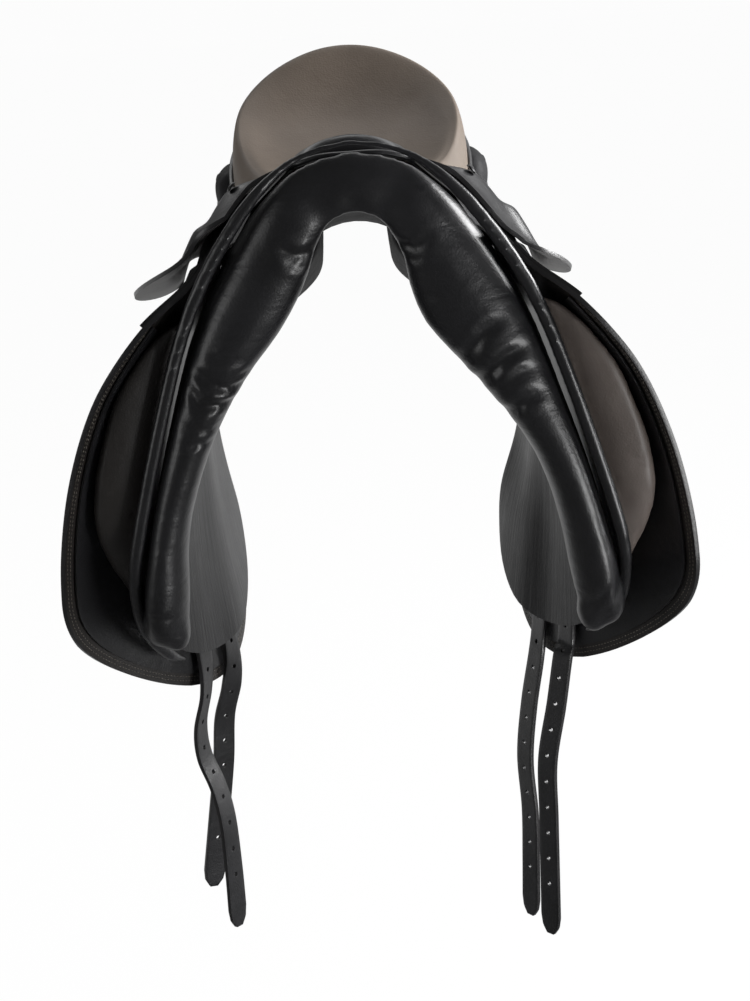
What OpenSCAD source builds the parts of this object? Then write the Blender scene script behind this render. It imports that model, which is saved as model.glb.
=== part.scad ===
// Dressage saddle on a wooden tree, with flaps, sweat flaps, knee blocks, flocked panels and long girth billets.
// X runs across the saddle, Y from the pommel back to the cantle, Z up, all in millimetres.
// The origin lies on the centre line in the gullet channel, where the ridge of a saddle rack goes.

/* [Seat] */
// Height of the pommel crest above the origin
pommel_height = 113; // [108:1:120]
// Distance of the pommel crest in front of the origin
pommel_reach = 198; // [194:1:204]
// Height of the cantle crest above the origin
cantle_height = 171; // [160:1:185]
// Distance of the cantle crest behind the origin
cantle_reach = 228; // [222:1:240]
// Half width of the seat between the crests beside the cantle
cantle_half = 116; // [110:1:122]
// Height of the lowest point of the seat above the origin
seat_low = 50; // [48:0.5:56]
// Distance of the lowest point of the seat behind the origin
seat_low_back = 22; // [10:1:35]
// Thickness of the seat leather
seat_leather = 3; // [2:0.5:4]
// Thickness of the foam at the lowest point of the seat
seat_padding = 14; // [10:1:17]
// Diameter of the piped welt between seat and skirt
welt_diameter = 6; // [4:0.5:7]

/* [Tree] */
// Thickness of the laminated tree
tree_thickness = 9; // [7:0.5:10]
// Width of the tree's rails, head and cantle, as a share of the way from rim to middle
tree_band = 0.34; // [0.28:0.01:0.4]
// Thickness of the tree point that carries the stirrup bar
point_thickness = 6; // [5:0.5:7]
// Width of the tree point
point_width = 84; // [76:1:92]
// Thickness of the steel head plate
head_plate_thickness = 2.5; // [2:0.5:3.5]
// Thickness of the seat webbing and of the girth webs
web_thickness = 2; // [1.5:0.25:2.5]

/* [Stirrup bars] */
// Length of the bar that the stirrup leather hangs on
bar_length = 62; // [55:1:68]
// Width of the bar across its flat
bar_width = 12; // [10:0.5:14]
// Thickness of the bar
bar_thickness = 5; // [4.5:0.5:6]
// Gap behind the bar for the stirrup leather
bar_gap = 8; // [7:0.5:9]
// Thickness of the bar's back plate
bar_plate = 2.5; // [2:0.25:3.5]
// Height of the bar's back plate
bar_plate_height = 28; // [24:1:32]
// Diameter of the rivets that hold the back plate
rivet_diameter = 5; // [4:0.5:6]
// Diameter of the catch's hinge pin
catch_pin_diameter = 3; // [2.5:0.1:3.5]
// Length of the thumb catch
catch_length = 17; // [14:0.5:19]
// Radial play of the catch on its pin
pin_play = 0.05; // [0.03:0.01:0.08]

/* [Flaps] */
// Thickness of the flap leather
flap_leather = 4.5; // [3.5:0.5:5]
// Thickness of the lining inside the flap
lining_leather = 2; // [1.5:0.25:2.5]
// Distance of the lining's edge inside the flap's edge
lining_margin = 14; // [10:1:18]
// Thickness of the guard on the flap under the stirrup bar
guard_leather = 3.5; // [2.5:0.5:4]
// Thickness of the skirt leather
skirt_leather = 4; // [3:0.5:4.5]
// Thickness of the sweat flap leather
sweat_leather = 3; // [2.5:0.25:3.5]
// Diameter of the padded rim along the front of the sweat flap
rim_diameter = 17; // [14:0.5:19]
// Thickness of the knee block
block_thickness = 52; // [44:1:54]
// Diameter of the skirt nail's head
nail_head = 11; // [9:0.5:13]

/* [Panels] */
// Half width of the gullet channel between the panels
gullet_half = 36; // [33:0.5:39]
// Depth of the flocked panels below the tree
panel_depth = 56; // [50:1:60]
// Thickness of the leather that lines the gullet
gullet_leather = 2; // [1.5:0.25:2.5]
// Thickness of the leather on the back of the cantle
cantle_leather = 3; // [2:0.5:4]

/* [Billets] */
// Width of each girth billet
billet_width = 25; // [22:0.5:27]
// Thickness of each girth billet
billet_thickness = 4; // [3:0.25:4.5]
// Diameter of the punched holes
hole_diameter = 5; // [4:0.25:6]
// Distance between holes along the billet
hole_pitch = 29; // [25:0.5:31]
// Number of holes in each billet
hole_count = 11; // [8:1:12]
// Length of the tongue below the lowest hole
billet_tongue = 58; // [50:1:70]

/* [Hidden] */
$fn = 48;

black_leather = [0.05, 0.05, 0.06];
taupe_leather = [0.40, 0.36, 0.32];
steel = [0.62, 0.63, 0.65];
beech = [0.72, 0.56, 0.38];
linen = [0.80, 0.76, 0.66];

// Gap that keeps neighbouring layers apart
layer_gap = 0.35;
// Step for slopes that are taken by differences
slope_step = 0.02;

// Curves

function clamp01(t) = min(max(t, 0), 1);
function mix(a, b, t) = a + (b - a) * t;
function ease(t) = let (c = clamp01(t)) c * c * (3 - 2 * c);
function unit(v) = v / norm(v);
function total(values) = values * [for (v = values) 1];
function mean(points) = [for (i = [0:2]) total([for (p = points) p[i]]) / len(points)];
function mirrored(p) = [-p[0], p[1], p[2]];

// Point at station s of a smooth curve through a list of points, carried on straight past both ends
function along(points, s) =
    let (
        last = len(points) - 1,
        i = min(max(floor(s), 0), last - 1),
        f = s - i,
        b = points[i],
        c = points[i + 1],
        a = i > 0 ? points[i - 1] : 2 * b - c,
        d = i < last - 1 ? points[i + 2] : 2 * c - b
    )
    f < 0 ? b + (c - a) / 2 * f
    : f > 1 ? c + (d - b) / 2 * (f - 1)
    : (2 * b + (c - a) * f + (2 * a - 5 * b + 4 * c - d) * f * f + (3 * b - a - 3 * c + d) * f * f * f) / 2;

// Point at station s of a smooth closed curve
function around(points, s) =
    let (n = len(points), i = floor(s))
    along([for (j = [-1:2]) points[(i + j + n) % n]], 1 + s - i);

// Solids

function volume(points, faces) = total([for (f = faces) points[f[0]] * cross(points[f[1]], points[f[2]])]) / 6;

// A closed solid whose faces are turned outwards whichever way they were listed
module solid(points, faces) {
    outward = volume(points, faces) > 0 ? [for (f = faces) [f[2], f[1], f[0]]] : faces;
    polyhedron(points, outward);
}

function band_faces(rings, sides, closed) = [
    for (i = [0:rings - (closed ? 1 : 2)], j = [0:sides - 1])
        let (
            a = i * sides + j,
            b = i * sides + (j + 1) % sides,
            c = (i + 1) % rings * sides + (j + 1) % sides,
            d = (i + 1) % rings * sides + j
        )
        each [[a, b, c], [a, c, d]]
];

// A solid through a row of rings, closed by a fan to one point at each end
module loft(rings, first, last) {
    sides = len(rings[0]);
    count = len(rings);
    points = concat([for (r = rings) each r], [first, last]);
    start = count * sides;
    caps = [
        for (j = [0:sides - 1])
            each [
                [start, (j + 1) % sides, j],
                [start + 1, (count - 1) * sides + j, (count - 1) * sides + (j + 1) % sides]
            ]
    ];
    solid(points, concat(band_faces(count, sides, false), caps));
}

// A solid through rings with flat ends
module bar_loft(rings) {
    loft(rings, mean(rings[0]), mean(rings[len(rings) - 1]));
}

// A solid through rings that come round to the first one again
module ring_loft(rings) {
    solid([for (r = rings) each r], band_faces(len(rings), len(rings[0]), true));
}

// A sheet with two faces given as rows of points
module slab(outer, inner) {
    rows = len(outer);
    cols = len(outer[0]);
    size = rows * cols;
    points = concat([for (r = outer) each r], [for (r = inner) each r]);
    skins = [
        for (i = [0:rows - 2], j = [0:cols - 2])
            let (a = i * cols + j, b = a + 1, c = a + cols + 1, d = a + cols)
            each [
                [a, b, c], [a, c, d],
                [size + a, size + c, size + b], [size + a, size + d, size + c]
            ]
    ];
    rim = concat(
        [for (j = [0:cols - 1]) j],
        [for (i = [1:rows - 1]) i * cols + cols - 1],
        [for (j = [cols - 2:-1:0]) (rows - 1) * cols + j],
        [for (i = [rows - 2:-1:1]) i * cols]
    );
    walls = [
        for (i = [0:len(rim) - 1])
            let (a = rim[i], b = rim[(i + 1) % len(rim)])
            each [[a, size + b, b], [a, size + a, size + b]]
    ];
    solid(points, concat(skins, walls));
}

// A round tube whose middle runs through a list of points; the ends are flat
function tube_rings(points, radii, sides) = [
    for (i = [0:len(points) - 1])
        let (
            ahead = points[min(i + 1, len(points) - 1)] - points[max(i - 1, 0)],
            u = unit(cross(ahead, [0, 1, 0.3])),
            v = unit(cross(ahead, u))
        )
        [for (j = [0:sides - 1]) points[i] + radii[i] * (u * cos(360 * j / sides) + v * sin(360 * j / sides))]
];

// The right half's shape on either side
module side(left) {
    if (left) mirror([1, 0, 0]) children();
    else children();
}

// Flank: the surface the flaps lie on, from the middle of the pommel (0) over the hinge line (1) to the hem (10)

front_station = 235;
rear_station = 220;
front_profile = [
    [0, 108], [46, 98], [84, 69], [115, 31], [143, -13], [166, -62],
    [188, -127], [211, -202], [231, -278], [246, -354], [257, -426]
];
waist_profile = [
    [0, 62], [105, 25], [131, -13], [145, -45], [154, -85], [160, -127],
    [163, -178], [160, -240], [152, -306], [138, -385], [126, -465]
];
rear_profile = [
    [0, 70], [108, 74], [130, 62], [147, 40], [157, 6], [153, -26],
    [147, -58], [141, -90], [135, -122], [129, -156], [123, -190]
];
// A profile's point at station k; it crosses the middle of the saddle level
function profile_point(profile, k) =
    along(concat([[-profile[1][0], profile[1][1]]], profile), k + 1);

function flank(y, k) =
    let (
        s = y < 0 ? 1 + y / front_station : 1 + y / rear_station,
        keys = [for (profile = [front_profile, waist_profile, rear_profile]) profile_point(profile, k)],
        i = y < 0 ? 0 : 1,
        straight = mix(keys[i], keys[i + 1], s - i),
        p = mix(straight, along(keys, s), ease((k - 1.2) / 1.5))
    )
    [p[0], y, p[1]];
function flank_normal(y, k) =
    unit(cross(flank(y, k + slope_step) - flank(y, k - slope_step), flank(y + 1, k) - flank(y - 1, k)));
function on_flank(y, k, out) = flank(y, k) + out * flank_normal(y, k);

// The straight line that skirt and flap turn about; the flank runs straight along it
hinge_front = flank(-front_station, 1);
hinge_rear = flank(0, 1);
function hinge_line(y) = mix(hinge_front, hinge_rear, 1 + y / front_station);

// Stations down a sheet: even to the start of its rounded hem, then closing round it
hem_angles = [18:17:86];
function sheet_stations(top, hem, bottom, rows) = concat(
    [for (i = [0:rows]) mix(top, hem, i / rows)],
    [for (a = hem_angles) hem + (bottom - hem) * sin(a)]
);
function hem_width(k, hem, bottom) = k < hem ? 1 : sqrt(max(0.004, 1 - pow((k - hem) / (bottom - hem), 2)));

// A leather sheet on the flank; front and back give its edges, out its distance from the flank
module flank_sheet(stations, columns, front, back, out, thickness, place = function (k, y) k) {
    function face(extra) = [
        for (k = stations)
            [
                for (j = [0:columns])
                    let (y = mix(front(k), back(k), j / columns))
                    on_flank(y, place(k, y), out(k, y) + extra)
            ]
    ];
    slab(face(thickness), face(0));
}

// Seat: spokes from its lowest point over the crest down to the hem

seat_middle = [0, seat_low_back, seat_low];
crest = [
    [0, -pommel_reach, pommel_height],
    [24, -pommel_reach + 3, pommel_height - 4],
    [40, -pommel_reach + 14, pommel_height - 12],
    [49, -150, 93],
    [60, -105, 77],
    [76, -50, 62],
    [cantle_half - 24, 10, 55],
    [cantle_half - 8, 70, 66],
    [cantle_half, 125, 92],
    [cantle_half - 7, 170, cantle_height - 52],
    [cantle_half - 36, cantle_reach - 25, cantle_height - 25],
    [cantle_half - 76, cantle_reach - 7, cantle_height - 6],
    [0, cantle_reach, cantle_height]
];
// The seat's hem follows the middle of the welt at this distance inside it
hem_inset = welt_diameter / 2 + 0.9;
welt = [
    [0, -pommel_reach - 13, pommel_height - 17],
    [28, -pommel_reach - 12, pommel_height - 18],
    hinge_line(-pommel_reach + 2),
    hinge_line(-150),
    hinge_line(-105),
    hinge_line(-50),
    hinge_line(8),
    [cantle_half + 6, 70, 24],
    [cantle_half + 14, 125, 38],
    [cantle_half + 12, 172, 62],
    [cantle_half - 8, cantle_reach - 13, cantle_height - 76],
    [cantle_half - 58, cantle_reach + 13, cantle_height - 50],
    [0, cantle_reach + 20, cantle_height - 41]
];
rim_last = len(crest) - 1;
spokes = 20;
// How far up to the crest the dish has risen at each part of a spoke, near the pommel and near the cantle
pommel_rise = [0.17, 0.52, 0.86];
cantle_rise = [0.07, 0.42, 0.85];
spoke_parts = [0.4, 0.73, 0.92];
side_bulge = 4;

function outwards(t) = let (c = along(crest, t)) unit([c[0], c[1] - seat_low_back, 0]);
// The welt keeps to the hinge line beside the skirt
function welt_point(t) = let (p = along(welt, t)) t > 2 && t < 6 ? hinge_line(p[1]) : p;
function welt_out(t) =
    let (e = 0.05, d = welt_point(t + e) - welt_point(t - e))
    t <= 0 ? [0, -1, 0] : t >= rim_last ? [0, 1, 0] : unit([d[1], -d[0], 0]);
function hem_point(t) = welt_point(t) - hem_inset * welt_out(t);
function spoke_keys(t) =
    let (
        c = along(crest, t),
        h = hem_point(t),
        rise = mix(pommel_rise, cantle_rise, ease(t / rim_last))
    )
    concat(
        [seat_middle],
        [
            for (i = [0:2])
                let (p = mix(seat_middle, c, spoke_parts[i]))
                [p[0], p[1], mix(seat_low, c[2], rise[i])]
        ],
        [c, mix(c, h, 0.45) + side_bulge * outwards(t), h]
    );
function seat_point(t, s) = along(spoke_keys(t), s);
function seat_normal(t, s) =
    let (
        e = 0.05,
        u = seat_point(t, s + e) - seat_point(t, s - e),
        v = seat_point(t + e, s) - seat_point(t - e, s)
    )
    unit(cross(v, u));
function centred(t, p) = t <= 0 || t >= rim_last ? [0, p[1], p[2]] : p;
seat_turn = seat_normal(4, 1)[2] > 0 ? 1 : -1;
function seat_layer(t, s, down) = centred(t, seat_point(t, s) - down * seat_turn * seat_normal(t, s));

// Goes once round the rim: out along the right half, back along the left one
function round_trip(half) = concat(half, [for (i = [len(half) - 2:-1:1]) mirrored(half[i])]);
rim_stations = [for (i = [0:spokes]) rim_last * i / spokes];
function seat_ring(s, down) = round_trip([for (t = rim_stations) seat_layer(t, s, down)]);
function middle_layer(down) = seat_middle - [0, 0, down];

// Base of the foam, which the tree and the webbing carry
foam_top = seat_leather + layer_gap;
foam_base = foam_top + seat_padding;
base_rim_drop = 32;
base_rim_inset = 0.92;
function base_point(t, r) =
    let (
        keys = spoke_keys(t),
        s = along([for (i = [0:4]) keys[i]], 4 * r),
        plan = mix(seat_middle, s, mix(1, base_rim_inset, r * r))
    )
    [plan[0], plan[1], s[2] - mix(foam_base, base_rim_drop, r * r)];
// The layers of tree and webbing are stacked away from a point high above the dish
dish_centre = [0, seat_low_back, 300];
function base_layer(t, r, down) =
    let (p = base_point(t, r))
    centred(t, p - down * unit(dish_centre - p));
function base_ring(r, down) = round_trip([for (t = rim_stations) base_layer(t, r, down)]);
function base_middle(down) = [0, seat_low_back, seat_low - foam_base - down];

// Places in the stack under the foam
tree_top = 2 * layer_gap;
tree_bottom = tree_top + tree_thickness;
tree_inner = 1 - tree_band;
tree_parts = [tree_inner, 1 - tree_band / 2, 1];
web_inner = tree_inner - 0.03;
web_parts = [for (i = [1:4]) web_inner * i / 4];
plate_top = tree_bottom + 2 * layer_gap;

// Local frame of the stirrup bar: X back along the saddle, Y up the flank, Z outwards
bar_y = -112;
bar_k = 3.55;
bar_place = flank(bar_y, bar_k);
bar_out = flank_normal(bar_y, bar_k);
bar_back = unit([0, 1, 0] - bar_out * bar_out[1]);
bar_up = cross(bar_out, bar_back);
module at_bar() {
    multmatrix([for (i = [0:2]) [bar_back[i], bar_up[i], bar_out[i], bar_place[i]]]) children();
}

// Levels above the flank at the stirrup bar
web_level = sweat_leather + layer_gap + 0.25;
billet_room = 3;
hang_level = sweat_leather + billet_thickness / 2 + billet_room;
point_level = web_level + web_thickness + 1.4;
bar_level = point_level + point_thickness;
flap_level = bar_level + bar_plate + 0.6;

// Tree, head plate and webbing

point_top = 34;
point_bottom = -44;
point_end = 18;
rivet_places = [[-20, 0], [20, 0]];
rivet_play = 0.15;
module point_outline() {
    difference() {
        hull() {
            translate([-point_width / 2, point_top - 30]) square([point_width, 30]);
            translate([-6, point_bottom + point_end]) circle(point_end);
        }
        for (p = rivet_places) translate(p) circle(d = rivet_diameter + 2 * rivet_play);
    }
}
// The bar's rail on the tree: from the band under the seat out to the top of the tree point
rail_anchor = base_layer(3.5, 0.96, tree_bottom - 1);
rail_length = 56;
rail_root = [5, 10, 3];
// The rail's end lies a little inside the tree point
rail_sink = 0.8;
module bar_rail() {
    hull() {
        at_bar()
            translate([-rail_length / 2, point_top - 9 - rail_sink, point_level + rail_sink])
                cube([rail_length, 9, point_thickness - 2 * rail_sink]);
        translate(rail_anchor) cube(rail_root, center = true);
    }
}
module tree() {
    color(beech) {
        ring_loft([
            for (i = [0:2 * spokes - 1])
                let (
                    right = i <= spokes,
                    t = rim_stations[right ? i : 2 * spokes - i],
                    cut = concat(
                        [for (j = [2:-1:0]) base_layer(t, tree_parts[j], tree_top)],
                        [for (r = tree_parts) base_layer(t, r, tree_bottom)]
                    )
                )
                [for (p = cut) right ? p : mirrored(p)]
        ]);
        for (left = [false, true])
            side(left) {
                at_bar() translate([0, 0, point_level]) linear_extrude(point_thickness) point_outline();
                bar_rail();
            }
    }
}

plate_reach = 2.6;
module head_plate() {
    rows = [for (i = [-8:8]) plate_reach * i / 8];
    function face(down) = [
        for (t = rows)
            [
                for (r = [0.74, 0.86, 0.98])
                    let (p = base_layer(abs(t), r, down))
                    t < 0 ? mirrored(p) : p
            ]
    ];
    color(steel) slab(face(plate_top), face(plate_top + head_plate_thickness));
}

module seat_webbing() {
    color(linen)
        loft(
            concat(
                [for (r = web_parts) base_ring(r, tree_top + web_thickness)],
                [for (i = [3:-1:0]) base_ring(web_parts[i], tree_top)]
            ),
            base_middle(tree_top + web_thickness), base_middle(tree_top)
        );
}

// Seat: foam, cover, welt and the cover on the back of the cantle

seat_steps = [0.6, 1.2, 1.8, 2.4, 3, 3.4, 3.8, 4.2, 4.6, 5, 5.5, 6];
module seat_foam() {
    color(linen)
        loft(
            concat(
                [for (s = seat_steps) if (s < 5.5) seat_ring(s, foam_top)],
                [for (i = [2:-1:0]) base_ring(tree_parts[i], 0)],
                [for (i = [3:-1:0]) base_ring(web_parts[i], 0)]
            ),
            middle_layer(foam_top), base_middle(0)
        );
}
module seat_cover() {
    count = len(seat_steps);
    color(taupe_leather)
        loft(
            concat(
                [for (s = seat_steps) seat_ring(s, seat_leather)],
                [for (i = [count - 1:-1:0]) seat_ring(seat_steps[i], 0)]
            ),
            middle_layer(seat_leather), seat_middle
        );
}
welt_sides = 8;
module seat_welt() {
    path = round_trip([for (t = rim_stations) centred(t, welt_point(t))]);
    count = len(path);
    color(taupe_leather)
        ring_loft([
            for (i = [0:count - 1])
                let (
                    ahead = path[(i + 1) % count] - path[(i + count - 1) % count],
                    u = unit(cross(ahead, [0, 0, 1])),
                    v = unit(cross(ahead, u))
                )
                [
                    for (j = [0:welt_sides - 1])
                        let (a = 360 * j / welt_sides)
                        path[i] + welt_diameter / 2 * (u * cos(a) + v * sin(a))
                ]
        ]);
}
cantle_start = 9;
facing_drop = hem_inset + 0.6;
cantle_drop = [[0, 0, -20], [2, -4, -42], [0, -9, -70]];
module cantle_cover() {
    half = [for (i = [0:10]) mix(cantle_start, rim_last, i / 10)];
    function point(t, d, out) =
        let (
            fall = along(cantle_drop, 2 * ease((t - cantle_start) / (rim_last - cantle_start))),
            top = welt_point(t) - [0, 0, facing_drop]
        )
        centred(t, top + d * fall + out * welt_out(t));
    function face(out) = [
        for (d = [0, 0.25, 0.5, 0.75, 1])
            let (row = [for (t = half) point(t, d, out)])
            concat(row, [for (i = [len(row) - 2:-1:0]) mirrored(row[i])])
    ];
    color(black_leather) slab(face(cantle_leather / 2), face(-cantle_leather / 2));
}

// Facing that closes the side between the seat's welt and the panel, behind the skirt
facing_start = 5.75;
facing_end = cantle_start - 0.06;
facing_steps = 10;
module side_facing() {
    function point(t, d, out) =
        let (top = welt_point(t) - [0, 0, facing_drop], y = top[1], foot = on_flank(y, 3.05, 2.2))
        mix(top, foot, d) + out * welt_out(t);
    function face(out) = [
        for (d = [0, 0.33, 0.67, 1])
            [for (i = [0:facing_steps]) point(mix(facing_start, facing_end, i / facing_steps), d, out)]
    ];
    color(black_leather) slab(face(cantle_leather / 2), face(-cantle_leather / 2));
}

// Stirrup bars with thumb catches

bar_bottom = bar_level + bar_plate + bar_gap;
bar_top = bar_bottom + bar_thickness;
catch_x = bar_length / 2 + 4;
catch_floor = bar_bottom + bar_thickness / 2 + 0.15;
pin_head = 1;
module bar_outline(length, width) {
    union() {
        translate([-length / 2, -width / 2]) square([length, width]);
        translate([length / 2, 0]) circle(d = width);
        translate([-length / 2, 0]) circle(d = width);
    }
}
module stirrup_bar() {
    color(steel) {
        difference() {
            union() {
                translate([0, 0, bar_level]) linear_extrude(bar_plate)
                    bar_outline(bar_length - 6, bar_plate_height);
                translate([0, 0, bar_bottom]) linear_extrude(bar_thickness)
                    bar_outline(bar_length - 4, bar_width);
                translate([catch_x, 0, bar_bottom]) cylinder(d = bar_width, h = bar_thickness / 2 - 0.15);
                translate([-bar_length / 2 - 4, -bar_width / 2, bar_level])
                    cube([8, bar_width, bar_top - bar_level]);
            }
            translate([bar_length / 2 - 5, -bar_width, catch_floor - 0.3])
                cube([30, 2 * bar_width, bar_thickness]);
            translate([catch_x, 0, bar_bottom - 1]) cylinder(d = catch_pin_diameter, h = bar_thickness);
            for (p = rivet_places)
                translate([p[0], p[1], bar_level - 1])
                    cylinder(d = rivet_diameter + 2 * rivet_play, h = bar_plate + 2);
        }
    }
}
module bar_catch() {
    color(steel)
        difference() {
            translate([catch_x, 0, catch_floor]) linear_extrude(bar_top - catch_floor) {
                circle(d = bar_width - 1);
                translate([0, -(bar_width - 3) / 2]) square([catch_length, bar_width - 3]);
                translate([catch_length, 0]) circle(d = bar_width - 3);
            }
            translate([catch_x, 0, catch_floor - 1])
                cylinder(d = catch_pin_diameter + 2 * pin_play, h = bar_thickness);
        }
}
module catch_pins() {
    color(steel)
        for (left = [false, true])
            side(left) at_bar() {
                translate([catch_x, 0, bar_bottom])
                    cylinder(d = catch_pin_diameter, h = bar_top - bar_bottom + 0.2);
                translate([catch_x, 0, bar_top + 0.2]) cylinder(d = 2 * catch_pin_diameter, h = pin_head);
            }
}
rivet_head = 1.6;
module bar_rivets() {
    color(steel)
        for (left = [false, true], p = rivet_places)
            side(left) at_bar() {
                translate([p[0], p[1], point_level + 0.5])
                    cylinder(d = rivet_diameter, h = bar_level + bar_plate - point_level - 0.5);
                translate([p[0], p[1], bar_level + bar_plate])
                    cylinder(d = 1.8 * rivet_diameter, h = rivet_head);
            }
}

// Panels, front rolls and gullet lining

gullet_heights = [[-205, 58], [-150, 44], [-60, 14], [0, 5], [60, 6], [120, 20], [180, 40], [240, 58]];
function gullet_z(y) = lookup(y, gullet_heights);
panel_front = -168;
panel_rear = 238;
panel_sides = 18;
function panel_corners(y) =
    let (
        z = gullet_z(y),
        rail_room = [0, 0, 7 * ease((-40 - y) / 40)],
        low = on_flank(y, 3.5, -panel_depth - 4 - 8 * ease(y / 200)),
        edge = on_flank(y, 4.55, -20),
        swell = ease((y - 176) / 34)
    )
    [
        [gullet_half, y, z - 9],
        [gullet_half + 11, y, z - 1],
        mix([gullet_half + 11, y, z - 1], on_flank(y, 2.65, -4), 0.55) - [0, 0, 2] - rail_room,
        on_flank(y, 2.65, -4) - rail_room,
        on_flank(y, 3.6 - 0.6 * swell, -2.6 + 20 * swell),
        edge,
        low,
        [gullet_half + 14, y, z - panel_depth - 2],
        [gullet_half + 1, y, z - panel_depth + 16]
    ];
function panel_ring(y, scale) =
    let (corners = panel_corners(y), centre = mean(corners))
    [
        for (j = [0:panel_sides - 1])
            let (p = mix(centre, around(corners, len(corners) * j / panel_sides), scale))
            [p[0], y, p[2]]
    ];
module panel() {
    inner = [for (i = [0:14]) mix(panel_front, panel_rear - 30, i / 14)];
    ends = [[12, 0.97], [21, 0.87], [27, 0.7], [30, 0.4]];
    rings = concat(
        [panel_ring(panel_front - 3, 0.9)],
        [for (y = inner) panel_ring(y, 1)],
        [for (e = ends) panel_ring(panel_rear - 30 + e[0], e[1])]
    );
    color(black_leather) bar_loft(rings);
}

// Thickness of the front roll inside the sweat flap, at each station of the flank
roll_thickness = [58, 60, 66, 82, 86, 74, 57, 48, 46, 42, 30];
// Half of the roll's length along the saddle
roll_half_depths = [9, 11, 24, 32, 32, 32, 32, 32, 31, 28, 20];
roll_front = 240;
roll_bottom = 8.95;
roll_gap = 4;
roll_sides = 14;
function roll_ring(k) =
    let (
        close = k < 8.2 ? 1 : sqrt(max(0.03, 1 - pow((k - 8.2) / (roll_bottom - 8.2), 2))),
        half = along([for (v = roll_half_depths) [v]], k)[0],
        t = along([for (v = roll_thickness) [v]], k)[0],
        y = -roll_front + 8 * ease(2 - k) + half
    )
    [
        for (j = [0:roll_sides - 1])
            let (
                a = 360 * j / roll_sides,
                p = on_flank(y + half * close * cos(a), k, -t / 2 - roll_gap + t / 2 * close * sin(a))
            )
            k == 0 ? [layer_gap / 2, p[1], p[2]] : p
    ];
module front_roll() {
    stations = concat([0, 0.35], [for (i = [0:14]) mix(0.7, 8.2, i / 14)], [8.45, 8.68, 8.85, roll_bottom]);
    color(black_leather) bar_loft([for (k = stations) roll_ring(k)]);
}

lining_arch = 9;
module gullet_lining() {
    half = gullet_half - 0.6;
    rows = [for (i = [0:12]) mix(panel_front, panel_rear - 36, i / 12)];
    function face(up) = [
        for (y = rows)
            [
                for (j = [-3:3])
                    let (x = j / 3)
                    [x * half, y, gullet_z(y) - 9 + lining_arch * (1 - x * x) + up * (1 - 0.5 * x * x)]
            ]
    ];
    color(black_leather) slab(face(gullet_leather), face(0));
}

// Sweat flaps with their rims, girth webs and knee blocks

sweat_top = 3.12;
sweat_hem = 7.7;
sweat_bottom = 9.3;
sweat_middle = -116;
sweat_edge = -226;
function sweat_front(k) = sweat_middle + (sweat_edge - sweat_middle) * hem_width(k, sweat_hem, sweat_bottom);
function sweat_back(k) = sweat_middle + (104 + 26 * ease((k - 3) / 4)) * hem_width(k, sweat_hem, sweat_bottom);
module sweat_flap() {
    color(black_leather)
        flank_sheet(
            sheet_stations(sweat_top, sweat_hem, sweat_bottom, 11), 8,
            function (k) sweat_front(k), function (k) sweat_back(k), function (k, y) 0, sweat_leather
        );
}

rim_sides = 8;
rim_gap = rim_diameter / 2 + layer_gap;
rim_end = 74;
rim_start = 4.5;
module rim() {
    stem = [for (i = [0:16]) mix(0, sweat_hem, i / 16)];
    turn = [for (a = [8:11:rim_end]) a];
    path = concat(
        [
            for (k = stem)
                let (p = on_flank(sweat_edge + 9 * ease(2 - k) - rim_gap, k, sweat_leather / 2))
                k == 0 ? [layer_gap / 2, p[1], p[2]] : p
        ],
        [
            for (a = turn)
                let (k = sweat_hem + (sweat_bottom - sweat_hem + 0.13) * sin(a))
                on_flank(sweat_middle + (sweat_edge - sweat_middle - rim_gap) * cos(a), k, sweat_leather / 2)
        ]
    );
    radii = concat(
        [for (k = stem) mix(rim_start, rim_diameter / 2, ease((k - 0.3) / 2.5))],
        [for (a = turn) rim_diameter / 2]
    );
    rings = tube_rings(path, radii, rim_sides);
    color(black_leather)
        bar_loft([for (ring = rings) [for (p = ring) [max(p[0], layer_gap / 2), p[1], p[2]]]]);
}

web_top = sweat_top + 0.06;
module girth_web() {
    color(linen)
        flank_sheet(
            [for (i = [0:4]) mix(web_top, 4.8, i / 4)], 4,
            function (k) -130, function (k) -28, function (k, y) web_level, web_thickness
        );
}

block_top = 4.6;
block_bottom = 8.65;
block_profile = [
    [block_top, 0.1], [5.2, 0.6], [5.9, 0.94], [6.9, 1], [7.6, 0.9], [8.2, 0.55], [block_bottom, 0.12]
];
block_front = -222;
block_back = -134;
// The block ends just short of the lining inside the flap
function block_room(k, y) = flap_out(k, y) - lining_leather - lining_gap - 1.7;
// Its front edge follows the rim round the hem
function block_edge(k) = block_front + 24 * ease((k - 7.5) / 1.1);
function block_ring(k) =
    let (
        part = lookup(k, block_profile),
        t = block_thickness * part,
        floor_out = sweat_leather + layer_gap
    )
    [
        for (
            p = [
                [0, 0], [-0.03, 0.25], [-0.14, 0.5], [-0.2, 0.76], [-0.16, 0.95], [-0.04, 1.05], [0.2, 1.03],
                [0.5, 0.86], [0.7, 0.58], [0.88, 0.28], [1, 0.05], [0.97, 0], [0.5, 0]
            ]
        )
            let (y = mix(block_edge(k), block_back, p[0] < 0 ? p[0] * part : p[0]))
            on_flank(y, k, min(floor_out + t * p[1], block_room(k, y)))
    ];
module knee_block() {
    color(taupe_leather) bar_loft([for (i = [0:14]) block_ring(mix(block_top, block_bottom, i / 14))]);
}

// Flaps with lining and guard

flap_top = 1.9;
flap_hem = 8.5;
flap_bottom = 9.8;
flap_middle = -113;
flap_outs = [3, 3, 3.5, 5, 11, 33, 57, 66, 64, 55, 48];
lining_gap = 1.5;
point_rise = 3;
function flap_reach(k) = 97 + 44 * ease((k - 3.4) / 2);
function flap_front(k) = flap_middle - flap_reach(k) * hem_width(k, flap_hem, flap_bottom);
function flap_back(k) = flap_middle + (108 + 33 * ease((k - 2) / 4)) * hem_width(k, flap_hem, flap_bottom);
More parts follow.
